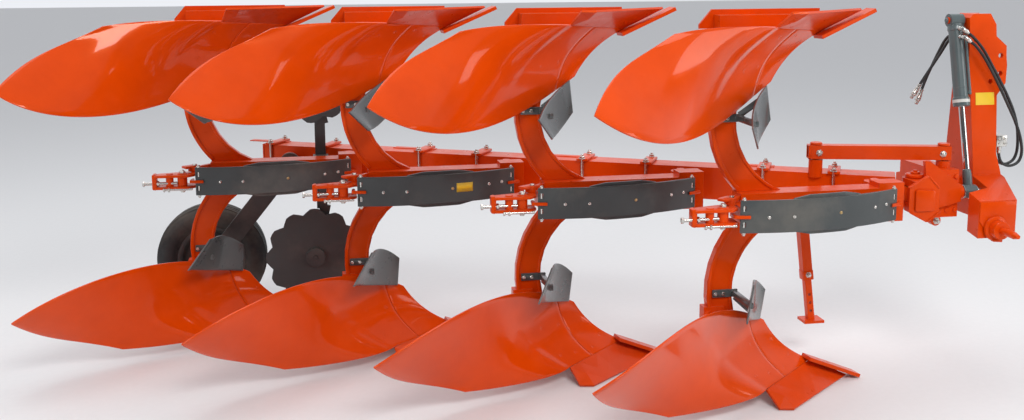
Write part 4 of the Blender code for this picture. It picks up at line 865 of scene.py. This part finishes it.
def makeWheel():
    low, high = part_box("depth_wheel_tyre")
    centre = (Vector(low) + Vector(high)) / 2
    wall, top, foot = list(wheelData["wall"]), wheelData["ribTop"], wheelData["ribFoot"]
    tread = []
    for a in wheelData["ribs"]:
        tread += [(a - 0.0125, top - abs(a) * 0.06), (a + 0.0045, top - abs(a) * 0.06),
                  (a + 0.0062, foot - abs(a) * 0.04), (a + 0.0145, foot - abs(a) * 0.04)]
    ring = wall + tread + [(-a, r) for a, r in wall[::-1]] + [wall[0]]
    bm = bmesh.new()
    verts = [bm.verts.new((r, 0, h)) for h, r in ring]
    for a, b in zip(verts, verts[1:]):
        bm.edges.new((a, b))
    bmesh.ops.spin(bm, geom=bm.verts[:] + bm.edges[:], axis=(0, 0, 1), cent=(0, 0, 0), steps=96, angle=math.tau,
                   use_merge=True)
    bmesh.ops.remove_doubles(bm, verts=bm.verts, dist=0.00002)
    bmesh.ops.recalc_face_normals(bm, faces=bm.faces)
    bmesh.ops.rotate(bm, matrix=Matrix.Rotation(math.pi / 2, 3, "X"), verts=bm.verts)
    bmesh.ops.translate(bm, vec=centre, verts=bm.verts)
    ready(addObject("tyre", bm), "tyre", "depth_wheel", ["depth_wheel_tyre"], 30)
    # the rim: a deep pressed dish with its hub
    dish = list(wheelData["dish"])
    rim = turned(dish + [dish[0]], centre, (0, 1, 0), 72, "rim")
    ready(rim, "dark", "depth_wheel", ["depth_wheel_rim"], 30).name = "wheel_rim"
    nuts = []
    for k in range(wheelData["nuts"]):
        a, reach = math.tau * k / wheelData["nuts"] + 0.3, wheelData["nutCircle"]
        nuts.append((centre + Vector((reach * math.cos(a), -0.0085, reach * math.sin(a))), (0, -1, 0),
                     wheelData["nut"]))
    fasteners("wheel_nuts", "nut", "dark", "depth_wheel", nuts)


makeWheel()
print("wheel")


trashData = {"low": ((-0.785, -0.490, 0.488), (-0.735, -0.345, 0.444), (-0.657, -0.208, 0.401),
                     (-0.554, -0.085, 0.357)),
             "high": ((-0.684, -0.315, 0.610), (-0.660, -0.235, 0.618), (-0.608, -0.160, 0.588),
                      (-0.544, -0.116, 0.517)),
             "lip": (-0.012, -0.028, 0.004), "thick": 0.0075, "rows": 14, "cols": 32, "height": 0.505,
             "bolts": (-0.795, -0.755), "bolt": 0.0100}


def makeTrashBoard(index, side):
    # a bowed plate with a folded lip, on an arm from the leg
    name, body = nameOf(index, side)
    rows, cols, height = trashData["rows"], trashData["cols"], trashData["height"]
    low = [bezier(*trashData["low"], c / cols) for c in range(cols + 1)]
    high = [bezier(*trashData["high"], c / cols) for c in range(cols + 1)]
    grid = []
    for r in range(rows + 1):
        row = [a.lerp(b, r / rows) for a, b in zip(low, high)]
        grid.append([row[0] + Vector(trashData["lip"]) * s for s in (1, 0.66, 0.33)] + row)
    parts = [sheetFrom(grid, index, side, trashData["thick"], "plate")]
    # the arm, its foot on the leg, and the rib under the plate
    for start, stop, width, depth, round in (
            ((-0.700, -0.318, height), (-0.700, -0.100, height), 0.028, 0.028, 0.004),
            ((-0.808, -0.1013, height), (-0.682, -0.1013, height), 0.0115, 0.038, 0.003),
            ((-0.620, -0.165, 0.415), (-0.700, -0.115, 0.490), 0.012, 0.030, 0.003)):
        parts.append(beam(bodyPoint(index, side, start), bodyPoint(index, side, stop), width, depth,
                          round=round))
    ready(join(f"trash_guard_{name}", parts), "trash", body, [f"trash_board_{name}"], 40)
    spots = [(bodyPoint(index, side, (x, -0.107, height)), (0, -1, 0),
              trashData["bolt"]) for x in trashData["bolts"]]
    fasteners(f"trash_bolts_{name}", "hex", "steel", body, spots)


for bodyIndex, bodySide in everyBody:
    makeTrashBoard(bodyIndex, bodySide)
print("trash boards")


soilData = {"back": ((-0.253, -0.016, 0.108), (-0.591, -0.272, 0.078)),      # the share's joint with the board
            "edge": ((-0.050, -0.012, 0.012), (-0.490, -0.365, 0.012)),      # its cutting edge
            "face": (-0.33, -0.22, 0.012), "plug": 0.0105,
            "plugs": ((0.22, 0.16), (0.42, 0.14), (0.62, 0.14), (0.80, 0.15), (0.30, 0.42), (0.55, 0.42)),
            "point": ((-0.290, -0.050, 0.135), (0.0, -0.010, 0.012)), "pointBolts": (0.22, 0.42),
            "landsideBolts": (-0.40, -0.50, -0.62)}


def makeSoilFasteners(index, side):
    # plug bolts of the share and its point, and the landside's bolts
    name, body = nameOf(index, side)
    place = lambda p: bodyPoint(index, side, p)
    back, edge = ([Vector(p) for p in soilData[key]] for key in ("back", "edge"))
    normal = (place(back[1]) - place(back[0])).cross(place(soilData["face"]) - place(back[0])).normalized()
    if normal.z * side > 0:
        normal = -normal
    plugs = [(place(back[0].lerp(back[1], t).lerp(edge[0].lerp(edge[1], t), d)), normal, soilData["plug"])
             for t, d in soilData["plugs"]]
    fasteners(f"share_bolts_{name}", "plug", "orange", body, plugs)
    rear, tip = (place(p) for p in soilData["point"])
    along, up = (tip - rear).normalized(), Vector((0, 0, -side))
    top = along.cross(up.cross(along).normalized())
    if top.dot(up) < 0:
        top = -top
    spots = [(rear.lerp(tip, t) + top * 0.009, top, 0.012) for t in soilData["pointBolts"]]
    fasteners(f"point_bolts_{name}", "plug", "orange", body, spots)
    spots = [(place((x, 0.0, 0.048)), (0, 1, 0), 0.011) for x in soilData["landsideBolts"]]
    fasteners(f"landside_bolts_{name}", "dome", "orange", body, spots)


for bodyIndex, bodySide in everyBody:
    makeSoilFasteners(bodyIndex, bodySide)
print("soil fasteners")


beamData = {"offset": -0.172, "top": 0.085, "clamps": (-0.045, -0.355), "strap": (0.062, 0.014),
            "strapHalf": 0.092,
            "studOut": 0.0845, "stud": 0.0085, "nut": 0.0145, "web": -0.40, "rear": -2.95}


def alongBeam(x, across=0.0, z=0.0):
    # across is towards the near side of the beam
    along = Vector((-pitch, furrow, 0)).normalized()
    side = Vector((along.y, -along.x, 0))
    side = side if side.y < 0 else -side
    s = side * beamData["offset"]
    run = (x - s.x) / along.x
    return at(*(s + along * run + side * across)) + Vector((0, 0, axisZ + z)), along, side


def makeBeamTrim():
    # clamps with their straps, studs and nuts, the strips beside them, and the end cap
    parts, bolts, studs = [], [], []
    top, out = beamData["top"], beamData["studOut"]
    for k in range(4):
        for dx in beamData["clamps"]:
            x = -pitch * k + dx
            for lift in (1, -1):
                centre, along, side = alongBeam(x, 0, lift * (top + 0.008))
                reach = side * beamData["strapHalf"]
                parts.append(beam(centre - reach, centre + reach, *beamData["strap"], round=0.003))
                for s in (-1, 1):
                    bolts.append((alongBeam(x, s * out, lift * (top + 0.015))[0], (0, 0, lift),
                                  beamData["nut"]))
            for s in (-1, 1):
                studs.append(peg(alongBeam(x, s * out, -0.100)[0], alongBeam(x, s * out, 0.118)[0],
                                 beamData["stud"], 0.001, 14))
        web, along, side = alongBeam(-pitch * k + beamData["web"], 0, 0.0862)
        parts.append(beam(web - side * 0.05 - along * 0.10, web - side * 0.05 + along * 0.16, 0.05, 0.006,
                          round=0.002))
    ready(join("beam_clamps", parts), "orange", "beam")
    ready(join("beam_studs", studs), "steel", "beam")
    fasteners("beam_nuts", "nut", "steel", "beam", bolts)
    rear, along, _ = alongBeam(beamData["rear"])
    cap = beam(rear + along * 0.001, rear + along * 0.010, 0.158, 0.178, round=0.003)
    ready(cap, "orange", "beam").name = "beam_end_cap"


makeBeamTrim()
print("beam")


linkData = {"rear": (-0.155, 0.205), "front": (0.455, 0.045), "top": 1.160, "middle": 1.125, "cap": 0.030,
            "bolt": 0.0135, "boltZ": 1.122, "tubeEnd": 0.0302}


def makeLinkTrim():
    rear, front = (at(*linkData[key], 0) for key in ("rear", "front"))
    along = (front - rear).normalized()
    side = Vector((along.y, -along.x, 0))
    top, middle = linkData["top"], linkData["middle"]
    lift = lambda p, z: Vector((p.x, p.y, z))
    caps = [peg(lift(p, top + 0.0005), lift(p, top + 0.013), linkData["cap"], 0.003, 28) for p in (rear, front)]
    ready(join("link_caps", caps), "orange", "width_link")
    spots = [(lift(p + side * 0.030, linkData["boltZ"]), side, linkData["bolt"])
             for p in (rear + along * 0.012, front - along * 0.010)]
    fasteners("link_bolts", "nut", "steel", "width_link", spots)
    # a collar around the open end of the square tube, and a near-black plate just inside it as painted shade of
    # the tube's hollow
    end = rear - along * linkData["tubeEnd"]
    frameParts = []
    for out, up, width, height in ((-0.0275, 0, 0.005, 0.070), (0.0275, 0, 0.005, 0.070),
                                   (0, -0.0325, 0.060, 0.005),
                                   (0, 0.0325, 0.060, 0.005)):
        centre = lift(end + side * out, middle + up)
        frameParts.append(beam(centre - along * 0.012, centre, width, height, round=0.001))
    ready(join("link_tube_end", frameParts), "orange", "width_link")
    # painted shade: a near-black plate in the tube's mouth stands for the dark hollow
    inside = beam(lift(end, middle) - along * 0.003, lift(end, middle) - along * 0.0005, 0.050, 0.060,
                  round=0.001)
    ready(inside, "tyre", "width_link").name = "link_tube_inside"


makeLinkTrim()


headData = {"cover": (0.255, -0.135), "nose": (0.30, 0.0357933), "eye": (0.5, 0.0),
            "boss": (0.352, -0.045, 0.808),
            "pressed": ((-0.052, -0.050), (-0.052, 0.045), (-0.040, 0.052), (0.044, 0.044), (0.052, 0.036),
                        (0.052, -0.052), (0.044, -0.058), (-0.044, -0.058)),
            "strips": (((-0.075, 0.060), (0.016, 0.112)), ((0.020, 0.112), (0.076, 0.052)),
                       ((-0.075, -0.062), (0.016, -0.112)), ((0.020, -0.112), (0.076, -0.070))),
            "forkBolts": (0.395, 0.440, 0.485), "platBolts": (0.40, 0.475)}


def makeHeadTrim():
    # the front cover's pressed field and edge strips
    cover = at(*headData["cover"], 0)
    parts = [prism([(cover.x + a, axisZ + b) for a, b in headData["pressed"]], cover.y - 0.012,
                   cover.y - 0.0005, "XZ", 0.004)]
    for ends in headData["strips"]:
        start, stop = (Vector((cover.x + a, cover.y - 0.0015, axisZ + b)) for a, b in ends)
        parts.append(beam(start, stop, 0.006, 0.008, round=0.002))
    ready(join("head_guard_cover", parts), "orange", "turning_head")
    # bosses over and under the fork's pin, and the one behind the rod's eye
    nose, eye = at(*headData["nose"], axisZ), at(*headData["eye"], axisZ)
    bosses = []
    for side in (-1, 1):
        for low, high, radius, edge, sides in ((0.0755, 0.0955, 0.048, 0.005, 36),
                                               (0.0950, 0.1055, 0.024, 0.003, 28)):
            bosses.append(peg(nose + Vector((0, 0, side * low)), nose + Vector((0, 0, side * high)), radius,
                              edge, sides))
    bosses.append(peg(eye + Vector((-0.058, 0, 0)), eye + Vector((-0.0105, 0, 0)), 0.034, 0.005, 32))
    ready(join("head_bosses", bosses), "orange", "turning_head")
    spots = [(nose + Vector((0, 0, side * 0.1055)), (0, 0, side), 0.0125) for side in (1, -1)]
    spots.append((eye + Vector((-0.058, 0, 0)), (-1, 0, 0), 0.016))
    spots += [(at(x, -0.030, axisZ + z), (0, -1, 0), 0.0125) for z in (-0.085,
                                                                       0.085) for x in headData["forkBolts"]]
    spots += [(at(x, 0.10, 1.05), (0, 0, 1), 0.0135) for x in headData["platBolts"]]
    fasteners("head_bolts", "hex", "orange", "turning_head", spots)
    low = at(*headData["boss"])
    end = low + Vector((0, -0.045, 0))
    ready(peg(low, end, 0.026, 0.004, 28), "orange", "turning_head").name = "head_lower_boss"
    fasteners("head_lower_bolt", "nut", "steel", "turning_head", [(end, (0, -1, 0), 0.0145)])


makeHeadTrim()
print("head")


headstockData = {
    "middle": 0.20, "memberHalf": 0.39, "pin": (0.60, 0.785), "endPlate": 0.006,
    "end": ((0.517, 0.917), (0.712, 0.917), (0.712, 0.79), (0.700, 0.738), (0.640, 0.738), (0.540, 0.79),
            (0.517, 0.82)),
    "collar": ((0.0602, 0.018), (0.0602, 0.0445), (0.064, 0.0445), (0.066, 0.042), (0.066, 0.024),
               (0.0665, 0.018),
               (0.0602, 0.018)),
    "washer": ((0.0065, 0.044), (0.0065, 0.058), (0.014, 0.062), (0.022, 0.058), (0.026, 0.0455)),
    "cap": ((0.0005, 0.0), (0.0005, 0.088), (0.006, 0.092), (0.010, 0.088), (0.012, 0.070), (0.014, 0.066),
            (0.014, 0.0455), (0.0005, 0.0455)),
    "capX": 0.812, "bolts": 8, "boltCircle": 0.079, "bolt": 0.0085,
    "weld": ((0.628, 0.078, 1.00), (0.775, 0.078, 1.00)), "bead": 0.0042, "beadStep": 0.006,
    "plugs": ((0.655, 0.1389, 1.68, 0.006), (0.760, 0.118, 1.245, 0.007), (0.735, 0.105, 1.20, 0.006)),
    "label": ((0.660, 1.415), (0.764, 1.415), (0.764, 1.352), (0.660, 1.352)),
    "pinHead": ((0, 0), (0, 0.0155), (0.0015, 0.0165), (0.002, 0.0120), (0.006, 0.0115), (0.0075, 0.0095),
                (0.0075, 0)),
    "pinPlace": (0.530, 0.20, 1.78)}


def towerFace(z):
    # how far out the near face of the tower is at a height
    return headstockData["middle"] - (0.06 + max(0.0, 1.60 - z) / 0.58 * 0.07)


def makeHeadstockTrim():
    parts, middle = [], headstockData["middle"]
    # folded end plates of the cross member, with the collars of its pins
    for side in (-1, 1):
        y = middle + side * headstockData["memberHalf"]
        places = [at(a, y, b) for a, b in headstockData["end"]]
        near, far = sorted((places[0].y, places[0].y + side * headstockData["endPlate"]))
        parts.append(prism([(p.x, p.z) for p in places], near, far, "XZ", 0.0025))
        pin, out = at(headstockData["pin"][0], y, headstockData["pin"][1]), Vector((0, side, 0))
        parts.append(turned(headstockData["collar"], pin, out, 40))
        parts.append(turned(headstockData["washer"], pin, out, 40))
        parts.append(beam(pin + out * 0.02 + Vector((-0.02, 0, -0.055)),
                          pin + out * 0.02 + Vector((0.03, 0, -0.060)),
                          0.022, 0.014, round=0.003))
    ready(join("cross_member_ends", parts), "orange", "headstock")
    # bearing cap with its ring of bolts, on the front of the turning shaft's housing
    cap = turned(headstockData["cap"], at(headstockData["capX"], middle, axisZ), (1, 0, 0), 56)
    ready(cap, "orange", "headstock").name = "housing_cap"
    ring = []
    for k in range(headstockData["bolts"]):
        a, reach = math.tau * k / headstockData["bolts"] + 0.2, headstockData["boltCircle"]
        place = at(headstockData["capX"] + 0.010, middle + reach * math.cos(a), axisZ + reach * math.sin(a))
        ring.append((place, (1, 0, 0), headstockData["bolt"]))
    fasteners("housing_bolts", "hex", "steel", "headstock", ring)
    # weld at the tower's foot
    a, b = (at(*p) for p in headstockData["weld"])
    count, beads = int((b - a).length / headstockData["beadStep"]), []
    for k in range(count):
        bm = bmesh.new()
        bmesh.ops.create_icosphere(bm, subdivisions=1, radius=headstockData["bead"])
        bmesh.ops.translate(bm, vec=a.lerp(b, (k + 0.5) / count), verts=bm.verts)
        beads.append(addObject("bead", bm))
    ready(join("tower_weld", beads), "orange", "headstock", smooth=80)
    spots = [(at(x, y, z), (0, -1, 0), radius) for x, y, z, radius in headstockData["plugs"]]
    fasteners("tower_plugs", "dome", "dark", "headstock", spots)
    # plain label on the slanted face of the tower
    bm = bmesh.new()
    bm.faces.new([bm.verts.new(at(x, towerFace(z) - 0.0008, z)) for x, z in headstockData["label"]])
    bmesh.ops.recalc_face_normals(bm, faces=bm.faces)
    label = addObject("tower_label", bm)
    label.modifiers.new("thick", "SOLIDIFY").thickness = 0.0006
    ready(baked(label), "label", "headstock")
    pinHead = turned(headstockData["pinHead"], at(*headstockData["pinPlace"]), (-1, 0, 0), 36)
    ready(pinHead, "barrel", "headstock").name = "cylinder_pin_head"


makeHeadstockTrim()
print("headstock")


valveData = {"start": 0.7765, "end": 0.8345, "middle": (0.200, 1.165), "size": (0.228, 0.058), "portX": 0.803,
             "lowPorts": (0.138, 0.104), "highPorts": (0.262, 0.296),
             "plugs": ((0.098, 1.180), (0.098, 1.150), (0.16, 1.165), (0.21, 1.180), (0.21, 1.150),
                       (0.27, 1.165))}


def makeValveBlock():
    start, end = (at(valveData[key], *valveData["middle"]) for key in ("start", "end"))
    block = beam(start, end, *valveData["size"], round=0.003)
    block.name = "valve_body"
    ready(block, "steel", "headstock", ["valve_block"])
    fittings, portX = [], valveData["portX"]
    for y in valveData["lowPorts"]:
        fittings.append(peg(at(portX, y, 1.1362), at(portX, y, 1.1340), 0.0135, 0.001, 24))
        fittings.append(turned([(0, 0.0080), (0, 0.0115), (0.014, 0.0115), (0.016, 0.0105), (0.034, 0.0100),
                                (0.036, 0.0080)],
                               at(portX, y, 1.1360), (0, 0, -1), 6 if y > 0.12 else 20))
    for y in valveData["highPorts"]:
        fittings.append(turned([(0, 0.0080), (0, 0.0118), (0.014, 0.0118), (0.016, 0.0105), (0.036, 0.0100),
                                (0.038, 0.0080)],
                               at(portX, y, 1.1938), (0, 0, 1), 20))
    ready(join("valve_fittings", fittings), "steel", "headstock")
    spots = [(at(valveData["end"], y, z), (1, 0, 0), 0.0085) for y, z in valveData["plugs"]]
    spots += [(at(x, 0.086, z), (0, -1, 0), radius) for x in (0.790, 0.820) for z,
              radius in ((1.178, 0.0075), (1.152, 0.0060))]
    fasteners("valve_plugs", "hex", "steel", "headstock", spots)


makeValveBlock()


cylinderData = {
    "top": (0.575, 0.20, 1.78), "eye": (0.575, 0.0, 0.93),
    "rings": (((0.030, 0.030), (0.030, 0.0385), (0.034, 0.0400), (0.052, 0.0400), (0.056, 0.0365)),
              ((0.395, 0.0355), (0.398, 0.0405), (0.436, 0.0412), (0.441, 0.0395), (0.444, 0.030),
               (0.444, 0.0160),
               (0.395, 0.0160)),
              ((0.345, 0.0358), (0.346, 0.0368), (0.350, 0.0368), (0.351, 0.0358))),
    "band": ((0.408, 0.0414), (0.408, 0.0418), (0.424, 0.0418), (0.424, 0.0414)),
    "pipe": (0.085, 0.385), "pipeOut": (0.030, 0.026), "pipeRadius": 0.0072, "clip": 0.0100,
    "elbows": (((0.575, 0.126, 1.742), (0.603, 0.118, 1.718)), ((0.575, 0.101, 1.700), (0.603, 0.093, 1.676))),
    "root": ((0.034, 0.0), (0.034, 0.0135), (0.046, 0.0135), (0.048, 0.0115), (0.050, 0)),
    "nut": ((-0.020, 0.0), (-0.020, 0.0130), (-0.008, 0.0130), (-0.006, 0.0110), (-0.006, 0)),
    "rodEye": ((-0.0362, 0.018), (-0.0362, 0.031), (-0.033, 0.0345), (0.033, 0.0345), (0.0362, 0.031),
               (0.0362, 0.018)),
    "neck": ((0.055, 0.0), (0.060, 0.0225), (0.085, 0.0225), (0.108, 0.0200), (0.112, 0.0158)),
    "shank": ((-0.030, 0.010), (0.02, 0.0228), (0.075, 0.0228))}


def makeCylinderTrim():
    top, eye = (at(*cylinderData[key]) for key in ("top", "eye"))
    down = (eye - top).normalized()
    parts = [turned(profile, top, down, 48) for profile in cylinderData["rings"]]
    # the pipe along the barrel, and the clip at each end of it
    side = down.cross(Vector((1, 0, 0))).normalized()
    if side.y > 0:
        side = -side
    ahead, out = cylinderData["pipeOut"]
    rail = Vector((ahead, 0, 0)) + side * out
    pipeTop, pipeLow = (top + down * reach + rail * 1.12 for reach in cylinderData["pipe"])
    parts.append(peg(pipeTop, pipeLow, cylinderData["pipeRadius"], 0.001, 20))
    for clip in (pipeLow - down * 0.01, pipeTop + down * 0.006):
        parts.append(peg(clip - rail * 0.2, clip + rail * 0.12, cylinderData["clip"], 0.001, 20))
    ready(join("barrel_details", parts), "barrel", "cylinder_barrel")
    band = turned(cylinderData["band"], top, down, 48)
    ready(band, "paleLabel", "cylinder_barrel").name = "barrel_band"
    elbows = []
    for knee, end in cylinderData["elbows"]:
        knee, end = at(*knee), at(*end)
        root = top + down * ((top.z - knee.z) / -down.z)
        out = (knee - root).normalized()
        on = (end - knee).normalized()
        elbows.append(turned(cylinderData["root"], root, out, 6))
        elbows.append(peg(root + out * 0.03, knee - out * 0.004, 0.0104, 0.001, 24))
        bm = bmesh.new()
        bmesh.ops.create_uvsphere(bm, u_segments=24, v_segments=16, radius=0.0112)
        bmesh.ops.translate(bm, vec=knee - out * 0.003, verts=bm.verts)
        elbows.append(addObject("knee", bm))
        elbows.append(peg(knee, end - on * 0.0004, 0.0106, 0.001, 24))
        elbows.append(turned(cylinderData["nut"], end, on, 6))
    ready(join("barrel_elbows", elbows), "steel", "cylinder_barrel", smooth=50)
    # rod's eye: a dark forged head with its pin's nut and a grease nipple
    wide = Vector((1, 0, 0))
    head = [turned(cylinderData["rodEye"], eye, wide, 48), turned(cylinderData["neck"], eye, -down, 40),
            turned(cylinderData["shank"], eye, -down, 40)]
    ready(join("rod_eye", head), "barrel", "cylinder_rod")
    fasteners("rod_pin_nut", "nut", "steel", "cylinder_rod", [(eye + wide * 0.0495, wide, 0.0165)])
    fasteners("rod_grease", "dome", "steel", "cylinder_rod", [(eye + down * 0.034, down, 0.006)])


makeCylinderTrim()
print("cylinder")


standData = {"lean": 7, "top": (-0.195, 0.285, 0.865), "sleeveEnd": 0.43, "collar": 0.056,
             "collarHeight": 0.052,
             "pin": 0.0125}


def makeStandTrim():
    # the sleeve's lower collar and the pin through it
    lean = math.radians(standData["lean"])
    down = Vector((math.sin(lean), 0, -math.cos(lean)))
    start = at(*standData["top"])
    end = start + down * ((start.z - standData["sleeveEnd"]) / math.cos(lean))
    collar = beam(end - down * standData["collarHeight"], end + down * 0.0005, standData["collar"],
                  standData["collar"],
                  up=(0, 1, 0), round=0.003)
    ready(collar, "orange", "beam").name = "stand_collar"
    spots = [(end - down * 0.03 + Vector((0, -0.028, 0)), (0, -1, 0), standData["pin"])]
    fasteners("stand_pin", "nut", "steel", "beam", spots)


makeStandTrim()
print("stand")


def stageFloor():
    bm = bmesh.new()
    bmesh.ops.create_grid(bm, x_segments=1, y_segments=1, size=60)
    obj = addObject("floor", bm)
    material = bpy.data.materials.new("floor")
    material.use_nodes = True
    tree = material.node_tree
    shader = tree.nodes["Principled BSDF"]
    place = node(tree, "ShaderNodeTexCoord").outputs["Object"]
    noise = node(tree, "ShaderNodeTexNoise", {"Vector": place, "Scale": 30.0, "Detail": 4.0})
    ramp = node(tree, "ShaderNodeMapRange", {"Value": noise.outputs["Fac"], "To Min": 0.72, "To Max": 0.76})
    tree.links.new(ramp.outputs["Result"], shader.inputs["Base Color"])
    shader.inputs["Roughness"].default_value = 0.85
    obj.data.materials.append(material)


lights = {"key": {"place": (1.5, -7.0, 6.5), "target": (-0.4, 0, 0.8), "size": (4.0, 2.4), "watts": 400},
          "side": {"place": (-8.5, -3.5, 3.6), "target": (-1, 0, 0.8), "size": (3.0, 3.0), "watts": 150},
          "top": {"place": (0.0, 1.5, 8.0), "target": (0, 0, 0.5), "size": (8.0, 5.0), "watts": 230},
          "front": {"place": (6.5, -3.5, 2.4), "target": (0.5, 0, 0.8), "size": (2.4, 3.0), "watts": 80}}


def softLight(name, place, target, size, watts):
    data = bpy.data.lights.new(name, "AREA")
    data.shape = "RECTANGLE"
    data.size, data.size_y = size
    data.energy = watts
    obj = bpy.data.objects.new(name, data)
    bpy.context.scene.collection.objects.link(obj)
    obj.location = Vector(place)
    obj.rotation_euler = (Vector(target) - Vector(place)).to_track_quat("-Z", "Y").to_euler()


stageFloor()
for name, light in lights.items():
    softLight(name, **light)


def studioWorld():
    # bright behind the plough, darker on the side it faces, with a soft uneven edge between
    world = bpy.data.worlds.new("world")
    world.use_nodes = True
    tree = world.node_tree
    place = node(tree, "ShaderNodeTexCoord").outputs["Generated"]
    split = node(tree, "ShaderNodeSeparateXYZ", {"Vector": place})
    noise = node(tree, "ShaderNodeTexNoise", {"Vector": place, "Scale": 4.0, "Detail": 3.0})
    wave = node(tree, "ShaderNodeMath", {0: noise.outputs["Fac"], 1: 0.35, 2: split.outputs["Y"]},
                operation="MULTIPLY_ADD")
    back = node(tree, "ShaderNodeMapRange", {"Value": wave.outputs[0], "From Min": 0.05, "From Max": 0.45,
                                             "To Min": 0.10,
                                             "To Max": 0.92})
    sky = node(tree, "ShaderNodeMath", {0: noise.outputs["Fac"], 1: 0.30, 2: split.outputs["Z"]},
               operation="MULTIPLY_ADD")
    above = node(tree, "ShaderNodeMapRange", {"Value": sky.outputs[0], "From Min": 0.42, "From Max": 0.52,
                                              "To Min": 0.0,
                                              "To Max": 0.50})
    total = node(tree, "ShaderNodeMath", {0: back.outputs["Result"], 1: above.outputs["Result"]},
                 operation="MAXIMUM")
    tree.links.new(total.outputs[0], tree.nodes["Background"].inputs["Strength"])
    tree.nodes["Background"].inputs["Color"].default_value = (0.93, 0.95, 1.0, 1)
    bpy.context.scene.world = world


studioWorld()
print("floor and lights")

# the pattern heads aren't part of the plough
for head in heads.values():
    bpy.data.objects.remove(head, do_unlink=True)
